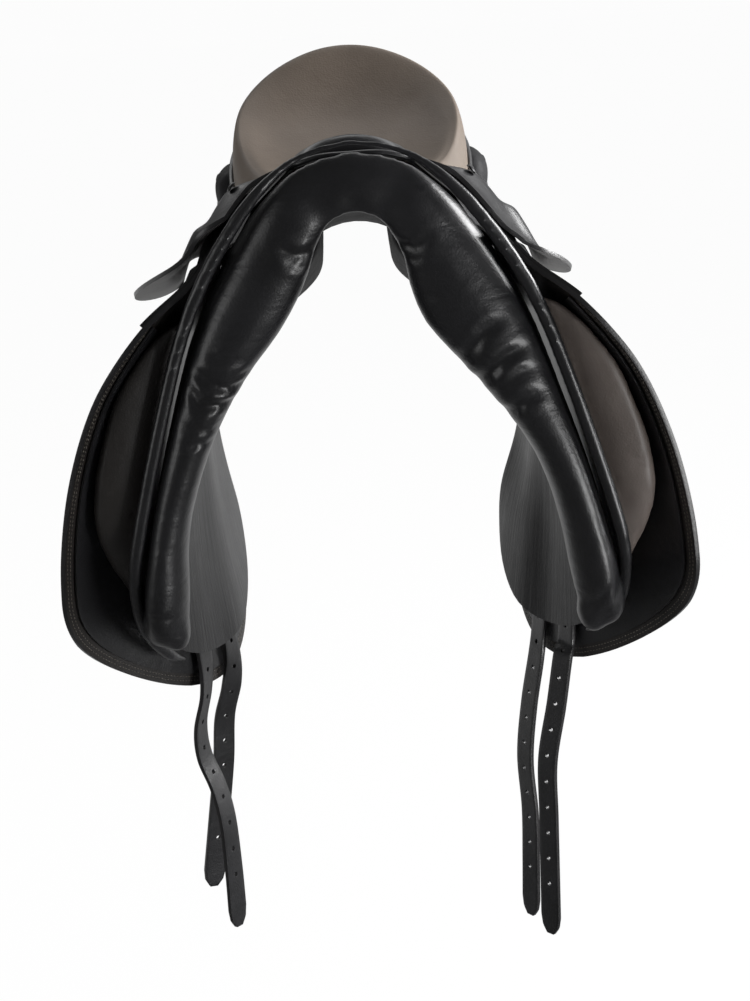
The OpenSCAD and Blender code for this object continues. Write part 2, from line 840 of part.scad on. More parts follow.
// At rest the flap lies on the bar's plate above and on the billets below; its front stands off the block
function flap_rest(k) =
    let (over_billets = hang_level + billet_thickness / 2 + billet_room + lining_leather + lining_gap)
    point_rise * ease((3.4 - k) / 0.6) + mix(flap_level, over_billets, ease(k - 4.6));
function flap_out(k, y) =
    let (spread = mix(52, 165, ease((k - 3.6) / 1.6)))
    mix(along([for (v = flap_outs) [v]], k)[0], flap_rest(k), ease((y - flap_middle + flap_reach(k)) / spread));
module bar_window() {
    at_bar()
        translate([-52, -27, -10]) linear_extrude(80)
            offset(r = 6) translate([6, 6]) square([104, 48]);
}
module flap() {
    color(black_leather)
        difference() {
            flank_sheet(
                sheet_stations(flap_top, flap_hem, flap_bottom, 15), 11,
                function (k) flap_front(k), function (k) flap_back(k),
                function (k, y) flap_out(k, y), flap_leather
            );
            bar_window();
        }
}
lining_top = 4.85;
lining_hem = flap_hem;
lining_bottom = 9.62;
function lining_front(k) =
    flap_middle - (141 - lining_margin) * hem_width(k, lining_hem, lining_bottom);
function lining_back(k) = flap_middle + (136 - lining_margin) * hem_width(k, lining_hem, lining_bottom);
module flap_lining() {
    color(black_leather)
        flank_sheet(
            sheet_stations(lining_top, lining_hem, lining_bottom, 8), 9,
            function (k) lining_front(k), function (k) lining_back(k),
            function (k, y) flap_out(k, y) - lining_leather - lining_gap, lining_leather
        );
}
guard_top = 3.5;
guard_bottom = 4.9;
guard_gap = 0.7;
module flap_guard() {
    color(black_leather)
        difference() {
            flank_sheet(
                [for (i = [0:5]) mix(guard_top, guard_bottom, i / 5)], 9,
                function (k) flap_front(k) + 4, function (k) -48,
                function (k, y) flap_out(k, y) + flap_leather + guard_gap, guard_leather
            );
            bar_window();
        }
}

// Skirts over the stirrup bars

skirt_top = 1.1;
skirt_even = 2;
skirt_root = welt_diameter / 2 + 2 * layer_gap;
// The skirt's upper edge keeps the same distance from the hinge line all along
function skirt_place(k, y) =
    let (start = 1 + skirt_root * slope_step / norm(flank(y, 1 + slope_step) - flank(y, 1)))
    k > skirt_even ? k : mix(start, skirt_even, (k - skirt_top) / (skirt_even - skirt_top));
skirt_hem = 2.75;
skirt_bottom = 3.88;
skirt_middle = -116;
// Distances of each skirt's front and rear edge from the flank, at every half station from 1 on
skirt_outs_left = [[-1, -1, 5.4, 16.5, 24.3, 28.7, 58.4], [-1, -1, 3.1, 12.1, 25.4, 51.6, 100.9]];
skirt_outs_right = [[-1, -1, 2, 3.9, 4.8, 18.7, 52.7], [-1, -1, 2, 8, 19.8, 45.5, 81.6]];
skirt_width = 190;
// Level that keeps the skirt clear of the stirrup bar and its catch
bar_clear = bar_top + 5.5;
skirt_tuck = 9;
function skirt_front(k) = skirt_middle - 95 * hem_width(k, skirt_hem, skirt_bottom);
function skirt_back(k) = skirt_middle + (116 - 20 * ease((k - 1) / 2)) * hem_width(k, skirt_hem, skirt_bottom);
// Its front edge is tucked in, and it stays clear of the flap, of the guard below and of the bar
function skirt_out(outs, k, y) =
    let (
        edges = [for (list = outs) along([for (v = list) [v]], 2 * (k - 1))[0]],
        free = mix(edges[0], edges[1], ease((y - skirt_front(1)) / skirt_width)),
        tuck = skirt_tuck * ease((k - 1) / 0.8) * ease((3.4 - k) / 1.2) * (1 - ease((y - skirt_front(1)) / 50)),
        over_guard = ease((k - 3.1) / 0.4) * (guard_leather + guard_gap),
        stack = flap_out(k, y) + flap_leather + 2 * guard_gap + over_guard,
        over_bar = bar_clear * ease((k - 2) / 0.65) * ease((y + 185) / 35)
    )
    max(free - tuck, over_bar, mix(-1, stack, ease((k - 1.05) / 0.85)));
module skirt(outs) {
    color(black_leather)
        flank_sheet(
            sheet_stations(skirt_top, skirt_hem, skirt_bottom, 9), 9,
            function (k) skirt_front(k), function (k) skirt_back(k),
            function (k, y) skirt_out(outs, skirt_place(k, y), y), skirt_leather,
            function (k, y) skirt_place(k, y)
        );
}
nail_y = -176;
nail_k = 1.8;
nail_rise = 2.4;
module skirt_nail(outs) {
    out = flank_normal(nail_y, nail_k);
    back = unit([0, 1, 0] - out * out[1]);
    up = cross(out, back);
    place = on_flank(nail_y, nail_k, skirt_out(outs, nail_k, nail_y) + skirt_leather + 1.4);
    color(steel)
        multmatrix([for (i = [0:2]) [back[i], up[i], out[i], place[i]]])
            rotate_extrude() polygon(concat(
                [[0, 0]],
                [for (a = [90:-15:0]) [nail_head / 2 * cos(a), 0.6 + nail_rise * sin(a)]],
                [[nail_head / 2, 0]]
            ));
}

// Girth billets: hung from the girth web, down inside the flap and out below it

web_reach = web_level + web_thickness + billet_thickness / 2 + 0.8;
function hung(y) = [
    for (k = [4.66, 5.2, 5.8, 6.6, 7.4, 8.2, 8.9, 9.5])
        on_flank(y, k, mix(web_reach, hang_level, ease(k - 4.7)))
];
front_billet_y = -112;
rear_billet_y = -66;
right_front_path = concat(hung(front_billet_y), [
    [183, -116, -445], [174, -120, -497], [162, -125, -558],
    [160, -131, -620], [158, -138, -688], [156, -145, -754]
]);
right_rear_path = concat(hung(rear_billet_y), [
    [160, -67, -464], [150, -68, -519], [143, -72, -579],
    [145, -78, -641], [143, -84, -699], [140, -90, -763]
]);
left_front_path = concat([for (p = hung(front_billet_y)) mirrored(p)], [
    [-193, -112, -458], [-204, -114, -494], [-201, -118, -526], [-188, -122, -560],
    [-181, -128, -597], [-179, -136, -652], [-179, -146, -716]
]);
left_rear_path = concat([for (p = hung(rear_billet_y)) mirrored(p)], [
    [-168, -66, -470], [-179, -66, -508], [-185, -67, -559],
    [-195, -69, -618], [-203, -72, -665], [-210, -76, -706]
]);
// The way each billet's width points, where it hangs free below the flap
right_front_twist = [[-0.58, 0.81, 0], [-0.66, 0.75, 0]];
right_rear_twist = [[-0.42, 0.91, 0], [-0.6, 0.8, 0]];
left_front_twist = [[0.24, 0.97, 0], [0.6, 0.8, 0]];
left_rear_twist = [[0.7, 0.71, 0], [0.88, 0.47, 0]];
free_start = 7;
billet_steps = 30;
tip_length = 20;
tip_width = 9;

function billet_across(path, twist, s) =
    let (
        y = path[0][1],
        last = len(path) - 1,
        k = min(4.66 + 0.7 * s, 9),
        slope = flank(y + 1, k) - flank(y - 1, k),
        top = path[0][0] < 0 ? mirrored(slope) : slope,
        loose = mix(twist[0], twist[1], clamp01((s - free_start) / (last - free_start))),
        ahead = unit(along(path, s + 0.05) - along(path, s - 0.05)),
        w = mix(unit(top), unit(loose), ease((s - free_start + 0.8) / 2))
    )
    unit(w - ahead * (w * ahead));
function billet_through(path, twist, s) =
    unit(cross(along(path, s + 0.05) - along(path, s - 0.05), billet_across(path, twist, s)));
function lengths(path) =
    let (n = 8 * (len(path) - 1))
    [
        for (i = 0, d = 0; i <= n; d = d + norm(along(path, (i + 1) / 8) - along(path, i / 8)), i = i + 1)
            [d, i / 8]
    ];
module billet(path, twist) {
    table = lengths(path);
    whole = table[len(table) - 1][0];
    stations = concat(
        [for (i = [0:billet_steps]) [(whole - tip_length) * i / billet_steps, billet_width]],
        [[whole - tip_length * 0.4, billet_width * 0.82], [whole, tip_width]]
    );
    color(black_leather)
        difference() {
            bar_loft([
                for (d = stations)
                    let (
                        s = lookup(d[0], table),
                        p = along(path, s),
                        w = billet_across(path, twist, s) * d[1] / 2,
                        n = billet_through(path, twist, s) * billet_thickness / 2
                    )
                    [p - w - n, p + w - n, p + w + n, p - w + n]
            ]);
            for (i = [0:hole_count - 1]) {
                s = lookup(whole - billet_tongue - i * hole_pitch, table);
                p = along(path, s);
                w = billet_across(path, twist, s);
                n = billet_through(path, twist, s);
                u = cross(n, w);
                multmatrix([for (j = [0:2]) [w[j], u[j], n[j], p[j]]])
                    translate([0, 0, -billet_thickness])
                        cylinder(d = hole_diameter, h = 2 * billet_thickness, $fn = 24);
            }
        }
}

tree();
head_plate();
seat_webbing();
seat_foam();
seat_cover();
seat_welt();
cantle_cover();
gullet_lining();
side(true) side_facing();  // side_facing_left
side(false) side_facing();  // side_facing_right
side(true) at_bar() stirrup_bar();  // stirrup_bar_left
side(false) at_bar() stirrup_bar();  // stirrup_bar_right
bar_rivets();
catch_pins();
side(true) at_bar() bar_catch();  // bar_catch_left
side(false) at_bar() bar_catch();  // bar_catch_right
side(true) girth_web();  // girth_web_left
side(false) girth_web();  // girth_web_right
side(true) panel();  // panel_left
side(false) panel();  // panel_right
side(true) front_roll();  // front_roll_left
side(false) front_roll();  // front_roll_right
side(true) rim();  // rim_left
side(false) rim();  // rim_right
side(true) sweat_flap();  // sweat_flap_left
side(false) sweat_flap();  // sweat_flap_right
side(true) knee_block();  // knee_block_left
side(false) knee_block();  // knee_block_right
side(true) flap();  // flap_left
side(false) flap();  // flap_right
side(true) flap_lining();  // flap_lining_left
side(false) flap_lining();  // flap_lining_right
side(true) flap_guard();  // flap_guard_left
side(false) flap_guard();  // flap_guard_right
side(true) skirt(skirt_outs_left);  // skirt_left
side(false) skirt(skirt_outs_right);  // skirt_right
side(true) skirt_nail(skirt_outs_left);  // skirt_nail_left
side(false) skirt_nail(skirt_outs_right);  // skirt_nail_right
billet(left_front_path, left_front_twist);  // billet_left_front
billet(left_rear_path, left_rear_twist);  // billet_left_rear
billet(right_front_path, right_front_twist);  // billet_right_front
billet(right_rear_path, right_rear_twist);  // billet_right_rear
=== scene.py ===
import math

import bmesh
import bpy
import numpy as np
from mathutils import Matrix, Vector


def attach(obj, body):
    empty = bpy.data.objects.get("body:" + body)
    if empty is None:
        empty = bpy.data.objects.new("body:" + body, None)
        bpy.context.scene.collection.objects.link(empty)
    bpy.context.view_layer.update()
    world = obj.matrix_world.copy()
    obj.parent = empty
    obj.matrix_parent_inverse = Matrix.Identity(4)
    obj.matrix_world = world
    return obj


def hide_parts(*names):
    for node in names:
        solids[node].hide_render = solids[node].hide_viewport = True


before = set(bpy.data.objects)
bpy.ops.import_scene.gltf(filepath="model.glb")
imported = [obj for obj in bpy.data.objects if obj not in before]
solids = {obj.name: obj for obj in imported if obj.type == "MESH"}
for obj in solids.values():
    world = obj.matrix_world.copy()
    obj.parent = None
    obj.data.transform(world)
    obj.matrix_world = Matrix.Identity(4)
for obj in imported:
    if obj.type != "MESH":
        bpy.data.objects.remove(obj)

scene = bpy.context.scene
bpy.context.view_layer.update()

# Camera and studio: the saddle is seen from the front and a little from above, before plain white.
# A strong soft light stands at the right and five weaker ones round it; a pale floor lies well below.
def stand(name, data):
    """A new object in the scene."""
    made = bpy.data.objects.new(name, data)
    scene.collection.objects.link(made)
    return made


lens = bpy.data.cameras.new("view")
lens.lens = 61.14
lens.sensor_fit = "VERTICAL"
lens.sensor_height = 36
camera = stand("camera", lens)
camera.location = (0, -1.748, 0.263)
tilt, roll = math.radians(72.25), math.radians(-4.2)
camera.rotation_euler = (Matrix.Rotation(tilt, 3, "X") @ Matrix.Rotation(roll, 3, "Z")).to_euler()
scene.camera = camera
scene.view_settings.view_transform = "Standard"


class Wire:
    """A socket of a shader; sums on it add the Math nodes."""

    def __init__(self, tree, socket=None):
        self.tree = tree
        self.socket = socket

    def node(self, kind, settings=None, sockets=None, output=0):
        made = self.tree.nodes.new(kind)
        for name, value in (settings or {}).items():
            setattr(made, name, value)
        for name, value in (sockets or {}).items():
            if isinstance(value, Wire):
                self.tree.links.new(value.socket, made.inputs[name])
            else:
                made.inputs[name].default_value = value
        return Wire(self.tree, made.outputs[output] if made.outputs else None)

    def sum(self, operation, first, second):
        return self.node("ShaderNodeMath", {"operation": operation}, {0: first, 1: second})

    def __add__(self, other):
        return self.sum("ADD", self, other)

    def __radd__(self, other):
        return self.sum("ADD", other, self)

    def __mul__(self, other):
        return self.sum("MULTIPLY", self, other)

    def __rmul__(self, other):
        return self.sum("MULTIPLY", other, self)

    def between(self, low, high):
        """0 below the low value, 1 above the high one, and smooth between them."""
        return self.node(
            "ShaderNodeMapRange", {"interpolation_type": "SMOOTHSTEP"},
            {"Value": self, "From Min": low, "From Max": high},
        )

    def blend(self, first, second):
        """The first colour where this is 0, the second where it is 1."""
        share, first_colour, second_colour, result = 0, 6, 7, 2
        sockets = {share: self, first_colour: first, second_colour: second}
        return self.node("ShaderNodeMix", {"data_type": "RGBA"}, sockets, result)

    def noise(self, place, scale, detail, **more):
        sockets = {"Vector": place, "Scale": scale, "Detail": detail, **more}
        return self.node("ShaderNodeTexNoise", sockets=sockets)

    def bump(self, strength, distance):
        """The surface's direction where this is its height."""
        sockets = {"Height": self, "Strength": strength, "Distance": distance}
        return self.node("ShaderNodeBump", sockets=sockets)

    def surface(self, sockets):
        """Ends a finish with its outer surface."""
        skin = self.node("ShaderNodeBsdfPrincipled", sockets=sockets)
        self.node("ShaderNodeOutputMaterial", sockets={"Surface": skin})


def new_finish(name):
    material = bpy.data.materials.new(name)
    material.use_nodes = True
    material.node_tree.nodes.clear()
    return material, Wire(material.node_tree)


floor_finish, start = new_finish("floor")
seen = start.node("ShaderNodeLightPath", output="Is Camera Ray")
mirrored = start.node("ShaderNodeLightPath", output="Is Glossy Ray")
spot = start.node("ShaderNodeTexCoord", output="Object")
depth = start.node("ShaderNodeSeparateXYZ", sockets={0: spot}, output="Y")
behind = depth.between(-0.3, 1.2)
matt = start.node("ShaderNodeBsdfDiffuse", sockets={"Color": (0.8, 0.8, 0.8, 1)})
white = start.node(
    "ShaderNodeEmission", sockets={"Color": (1, 1, 1, 1), "Strength": seen + mirrored * (0.1 + 0.6 * behind)}
)
paper = start.node("ShaderNodeMixShader", sockets={0: 0.97 * seen + mirrored, 1: matt, 2: white})
start.node("ShaderNodeOutputMaterial", sockets={"Surface": paper})
floor_drop = 1.06
ground = bmesh.new()
bmesh.ops.create_grid(ground, x_segments=1, y_segments=1, size=30)
bmesh.ops.translate(ground, vec=(0, 0, -floor_drop), verts=ground.verts)
mesh = bpy.data.meshes.new("floor")
ground.to_mesh(mesh)
ground.free()
mesh.materials.append(floor_finish)
floor = stand("floor", mesh)

world = bpy.data.worlds.new("studio")
world.use_nodes = True
world.node_tree.nodes.clear()
start = Wire(world.node_tree)
seen = start.node("ShaderNodeLightPath", output="Is Camera Ray")
sky = start.node("ShaderNodeBackground", sockets={"Color": (1, 1, 1, 1), "Strength": 0.11 + 0.865 * seen})
start.node("ShaderNodeOutputWorld", sockets={"Surface": sky})
scene.world = world

# Each light: its name, its place and size in metres, and its power in watts
lights = [
    ("key", (2.65, 0.42, 0.62), 1.8, 175),
    ("back_right", (1.27, 1.76, 1.57), 1.6, 12),
    ("back_left", (-1.27, 1.76, 1.57), 1.6, 10),
    ("left", (-2.50, -1.22, 0.34), 1.4, 12),
    ("front", (2.11, -1.82, -0.68), 1.0, 36),
    ("top", (0.00, 0.82, 2.51), 1.4, 16),
]
saddle_middle = Vector((0, -0.05, -0.15))
for name, place, size, power in lights:
    lamp = bpy.data.lights.new(name, "AREA")
    lamp.size = size
    lamp.energy = power
    lamp_stand = stand(name, lamp)
    lamp_stand.location = place
    aim = saddle_middle - Vector(place)
    lamp_stand.rotation_euler = aim.to_track_quat("-Z", "Y").to_euler()

# Tree: laminated beech under dark lacquer, with a riveted steel head plate and linen webbing strained
# across it. It lies hidden between seat and panels, so its pieces keep their plain solid shape.
def wood_finish():
    material, start = new_finish("beech")
    place = start.node("ShaderNodeTexCoord", output="Object")
    long = start.node("ShaderNodeMapping", sockets={"Vector": place, "Scale": (60, 6, 60)})
    rings = start.noise(long, scale=3.0, detail=6.0)
    tone = rings.blend((0.012, 0.009, 0.007, 1), (0.028, 0.020, 0.015, 1))
    start.surface({"Base Color": tone, "Roughness": 0.5, "Normal": rings.bump(0.2, 0.0004)})
    return material


def steel_finish(name, dark, light):
    material, start = new_finish(name)
    place = start.node("ShaderNodeTexCoord", output="Object")
    cloud = start.noise(place, scale=240.0, detail=4.0)
    stain = start.noise(place, scale=45.0, detail=3.0)
    start.surface({
        "Base Color": stain.blend(dark, light), "Metallic": 1.0, "Roughness": 0.22 + 0.2 * stain,
        "Normal": cloud.bump(0.12, 0.0003),
    })
    return material


def linen_finish():
    material, start = new_finish("linen")
    place = start.node("ShaderNodeTexCoord", output="Object")
    warp = start.node("ShaderNodeTexWave", {"bands_direction": "X"}, {"Vector": place, "Scale": 180.0})
    weft = start.node("ShaderNodeTexWave", {"bands_direction": "Z"}, {"Vector": place, "Scale": 180.0})
    weave = warp * weft
    tone = weave.blend((0.46, 0.42, 0.33, 1), (0.66, 0.61, 0.5, 1))
    start.surface({"Base Color": tone, "Roughness": 0.85, "Normal": weave.bump(0.5, 0.0005)})
    return material


def coat(names, finish):
    for name in names:
        solids[name].data.materials.clear()
        solids[name].data.materials.append(finish)


beech = wood_finish()
steel = steel_finish("steel", (0.50, 0.50, 0.51, 1), (0.68, 0.67, 0.65, 1))
linen = linen_finish()
coat(["tree"], beech)
coat(["seat_webbing", "girth_web_left", "girth_web_right"], linen)
coat(["head_plate"], steel)

# Stirrup bars: forged steel with a thumb catch on a pin at the rear end, riveted to the tree points.
# They are bright metal, and only an edge of them shows under each skirt. The skirts' nails are blackened.
coat(["stirrup_bar_left", "stirrup_bar_right", "bar_rivets"], steel)
coat(["catch_pins", "bar_catch_left", "bar_catch_right"], steel)
nail_steel = steel_finish("black_nail", (0.03, 0.03, 0.032, 1), (0.05, 0.05, 0.05, 1))
coat(["skirt_nail_left", "skirt_nail_right"], nail_steel)

# Panels: two flocked cushions of soft black leather under the tree, with the gullet channel between them.
# They are cut from the solid's shape, filled like a cushion and eased where the leather is drawn in.
MM = 0.001


def leather_finish(
    name, dark, light, rough, wrinkle=0.3, pull=(30, 30, 30), edge=None, gloss=0.25, shine=0.5
):
    """Grained leather; pull stretches its wrinkles, and edge is the colour along a cut edge."""
    material, start = new_finish(name)
    place = start.node("ShaderNodeTexCoord", output="Object")
    patch = start.noise(place, scale=11.0, detail=5.0)
    scuff = start.noise(place, scale=55.0, detail=6.0, Roughness=0.65)
    grain = start.node(
        "ShaderNodeTexVoronoi", {"feature": "SMOOTH_F1"}, {"Vector": place, "Scale": 520.0, "Smoothness": 0.7}
    )
    drawn = start.node("ShaderNodeMapping", sockets={"Vector": place, "Scale": pull})
    folds = start.noise(drawn, scale=1.0, detail=3.0, Distortion=0.5)
    height = 0.22 * grain + 0.3 * scuff + wrinkle * 4.0 * folds
    tone = patch.between(0.3, 0.75).blend(dark, light)
    if edge:
        cut = start.node("ShaderNodeAttribute", {"attribute_name": "edge"}, output="Fac")
        tone = cut.between(0.0016, 0.0006).blend(tone, edge)
    start.surface({
        "Base Color": tone, "Roughness": rough - 0.06 + 0.16 * scuff, "Normal": height.bump(0.55, 0.0011),
        "Coat Weight": gloss, "Coat Roughness": 0.24, "Specular IOR Level": shine,
    })
    return material


def piece(name, shape, finishes, body):
    mesh = bpy.data.meshes.new(name)
    shape.to_mesh(mesh)
    shape.free()
    return dressed(name, mesh, finishes, body)


def dressed(name, mesh, finishes, body):
    for finish in finishes:
        mesh.materials.append(finish)
    mesh.polygons.foreach_set("use_smooth", [True] * len(mesh.polygons))
    made = stand(name, mesh)
    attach(made, body)
    return made


def worked(form):
    """A mesh of the form as its modifiers leave it."""
    return bpy.data.meshes.new_from_object(form.evaluated_get(bpy.context.evaluated_depsgraph_get()))


def smooth(shape, verts, passes):
    """Draws each point half-way to the middle of its neighbours, once in each pass."""
    for _ in range(passes):
        bmesh.ops.smooth_vert(
            shape, verts=verts, factor=0.5, use_axis_x=True, use_axis_y=True, use_axis_z=True
        )


def cut_from(names, voxel, passes, pads=()):
    """One closed skin over the named solids and round pads, with even faces of the voxel size.

    Each pad is its middle and its three radii in millimetres.
    """
    skin = bmesh.new()
    for name in names:
        skin.from_mesh(solids[name].data)
    bmesh.ops.remove_doubles(skin, verts=skin.verts, dist=1e-5)
    for middle, radii in pads:
        shape = Matrix.Translation(Vector(middle) * MM) @ Matrix.Diagonal((*(r * MM for r in radii), 1))
        bmesh.ops.create_icosphere(skin, subdivisions=3, radius=1, matrix=shape)
    mesh = bpy.data.meshes.new("skin")
    skin.to_mesh(mesh)
    skin.free()
    form = stand("skin", mesh)
    remesh = form.modifiers.new("even", "REMESH")
    remesh.mode = "VOXEL"
    remesh.voxel_size = voxel
    even = worked(form)
    bpy.data.objects.remove(form)
    skin = bmesh.new()
    skin.from_mesh(even)
    smooth(skin, skin.verts, passes)
    skin.to_mesh(even)
    skin.free()
    return even


def fill(cushion, pressure, limit):
    """Swells the skin as cloth under inner pressure; no point moves further than the limit."""
    count = len(cushion.data.vertices)
    before = np.empty(count * 3, np.float32)
    cushion.data.vertices.foreach_get("co", before)
    cloth = cushion.modifiers.new("filling", "CLOTH")
    cloth.settings.quality = 4
    cloth.settings.mass = 0.4
    cloth.settings.tension_stiffness = 40
    cloth.settings.compression_stiffness = 40
    cloth.settings.shear_stiffness = 20
    cloth.settings.bending_stiffness = 2
    cloth.settings.use_pressure = True
    cloth.settings.uniform_pressure_force = pressure
    cloth.settings.effector_weights.gravity = 0
    cloth.collision_settings.use_collision = False
    steps = 20
    cloth.point_cache.frame_start = 1
    cloth.point_cache.frame_end = steps
    for step in range(1, steps + 1):
        scene.frame_set(step)
    swollen = cushion.evaluated_get(bpy.context.evaluated_depsgraph_get()).data
    after = np.empty(count * 3, np.float32)
    swollen.vertices.foreach_get("co", after)
    move = (after - before).reshape(-1, 3)
    size = np.linalg.norm(move, axis=1, keepdims=True)
    move *= np.minimum(1, limit / np.maximum(size, 1e-9))
    cushion.modifiers.remove(cloth)
    scene.frame_set(1)
    cushion.data.vertices.foreach_set("co", (before.reshape(-1, 3) + move).ravel())
    cushion.data.update()


def refine(made, levels):
    soft = made.modifiers.new("soft", "SUBSURF")
    soft.levels = levels
    soft.render_levels = levels


panel_hide = leather_finish(
    "panel_leather", (0.006, 0.006, 0.007, 1), (0.011, 0.011, 0.013, 1),
    rough=0.6, wrinkle=0.5, pull=(28, 14, 50), gloss=0.0, shine=0.2
)


def round_rear(cushion):
    """Rounds the corners of the panel's rear end, where the flock only half fills the skin."""
    shape = bmesh.new()
    shape.from_mesh(cushion.data)
    for rear_from, passes in ((0.15, 12), (0.175, 16)):
        smooth(shape, [v for v in shape.verts if v.co.y > rear_from], passes)
    shape.to_mesh(cushion.data)
    shape.free()


for side, sign in (("left", -1), ("right", 1)):
    rear_pad = [((sign * 126, 178, 24), (28, 46, 34))]
    skin = cut_from([f"panel_{side}"], voxel=5 * MM, passes=16, pads=rear_pad)
    panel = dressed(f"flocked_panel_{side}", skin, [panel_hide], "saddle")
    fill(panel, pressure=4, limit=4 * MM)
    round_rear(panel)
    refine(panel, levels=1)
    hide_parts(f"panel_{side}")

strip = bmesh.new()
strip.from_mesh(solids["gullet_lining"].data)
bmesh.ops.remove_doubles(strip, verts=strip.verts, dist=1e-5)
bmesh.ops.join_triangles(strip, faces=strip.faces, angle_face_threshold=0.6, angle_shape_threshold=1.2)
gullet = piece("gullet_strip", strip, [panel_hide], "saddle")
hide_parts("gullet_lining")

# Front roll: one padded roll of soft black leather, up one side, over the pommel and down the other side.
# It is stuffed with flock, so the skin is full, with drawn folds where the roll turns at the shoulders.
FRONT_AT, REAR_AT = -235, 220
# The saddle's side in three cuts: how far out and how high each one lies, station by station down the side
FRONT = np.array([
    (-46, 98), (0, 108), (46, 98), (84, 69), (115, 31), (143, -13), (166, -62),
    (188, -127), (211, -202), (231, -278), (246, -354), (257, -426),
], float)
WAIST = np.array([
    (-105, 25), (0, 62), (105, 25), (131, -13), (145, -45), (154, -85), (160, -127),
    (163, -178), (160, -240), (152, -306), (138, -385), (126, -465),
], float)
REAR = np.array([
    (-108, 74), (0, 70), (108, 74), (130, 62), (147, 40), (157, 6), (153, -26),
    (147, -58), (141, -90), (135, -122), (129, -156), (123, -190),
], float)


def curve(a, b, c, d, f):
    """The smooth curve between b and c, running on straight beyond them; f is 0 at b and 1 at c."""
    g = np.clip(f, 0, 1)
    bend = 2 * b + (c - a) * g + (2 * a - 5 * b + 4 * c - d) * g**2 + (3 * b - a - 3 * c + d) * g**3
    return bend / 2 + np.minimum(f, 0) * (c - a) / 2 + np.maximum(f - 1, 0) * (d - b) / 2


def along(keys, s):
    """The smooth curve through the keys, at the stations s."""
    keys = np.asarray(keys, float)
    keys = np.concatenate([[2 * keys[0] - keys[1]], keys, [2 * keys[-1] - keys[-2]]])
    s = np.asarray(s, float)
    i = np.clip(np.floor(s).astype(int), 0, len(keys) - 4)
    f = s - i if keys.ndim == 1 else (s - i)[..., None]
    return curve(keys[i], keys[i + 1], keys[i + 2], keys[i + 3], f)


def ease(t):
    c = np.clip(t, 0, 1)
    return c * c * (3 - 2 * c)


def mix(a, b, t):
    return a + (b - a) * t


def flank(y, k):
    """The saddle's side: station k runs from the pommel's middle down to the hem, y from front to back.

    The waist lies at y = 0.
    """
    y, k = np.broadcast_arrays(np.asarray(y, float), np.asarray(k, float))
    front, waist, rear = (along(profile, k + 1) for profile in (FRONT, WAIST, REAR))
    ahead = (y < 0)[..., None]
    f = np.where(y < 0, 1 - y / FRONT_AT, y / REAR_AT)[..., None]
    b = np.where(ahead, front, waist)
    c = np.where(ahead, waist, rear)
    bend = curve(np.where(ahead, 2 * front - waist, front), b, c, np.where(ahead, rear, 2 * rear - waist), f)
    p = mix(mix(b, c, f), bend, ease((k - 1.2) / 1.5)[..., None])
    return np.stack([p[..., 0], y, p[..., 1]], -1)


def flank_normal(y, k):
    n = np.cross(flank(y, k + 0.02) - flank(y, k - 0.02), flank(y + 1, k) - flank(y - 1, k))
    return n / np.linalg.norm(n, axis=-1, keepdims=True)


def on_flank(y, k, out):
    """Points at a distance out from the saddle's side."""
    y, k = np.asarray(y, float), np.asarray(k, float)
    return flank(y, k) + np.asarray(out, float)[..., None] * flank_normal(y, k)


roll_hide = leather_finish(
    "roll_leather", (0.006, 0.006, 0.007, 1), (0.012, 0.012, 0.014, 1),
    rough=0.38, wrinkle=0.6, pull=(20, 20, 46)
)
# Pads that make the two lower ends full and round
roll_ends = [
    ((-201, -212, -340), (16, 24, 28)), ((-217, -212, -333), (16, 25, 29)),
    ((204, -212, -350), (17, 24, 29)), ((219, -212, -341), (17, 25, 31)),
]
skin = cut_from(["front_roll_left", "front_roll_right"], voxel=4 * MM, passes=8, pads=roll_ends)
front_roll = dressed("front_roll", skin, [roll_hide], "saddle")
fill(front_roll, pressure=4, limit=3 * MM)
# Share of the thickness that the stitching leaves at each height, on the left and the right
roll_heights = [-360, -320, -250, -190, -120, -70, 0]
roll_shares = {-1: [1, 0.9, 0.74, 0.74, 0.8, 0.86, 1], 1: [1, 0.92, 0.84, 0.86, 1.04, 1.06, 1]}
mesh = front_roll.data
places = np.empty(len(mesh.vertices) * 3, np.float32)
mesh.vertices.foreach_get("co", places)
places = places.reshape(-1, 3) / MM
# The roll's outer edge, which stays where it is, follows the front cut
edge = np.interp(places[:, 2], FRONT[:2:-1, 1], FRONT[:2:-1, 0])
for sign, shares in roll_shares.items():
    ours = places[:, 0] * sign > 0
    depth = edge - np.abs(places[:, 0])
    share = along(shares, np.interp(places[:, 2], roll_heights, range(len(roll_heights))))
    places[ours, 0] = (sign * (edge - depth * share))[ours]
mesh.vertices.foreach_set("co", (places * MM).ravel())
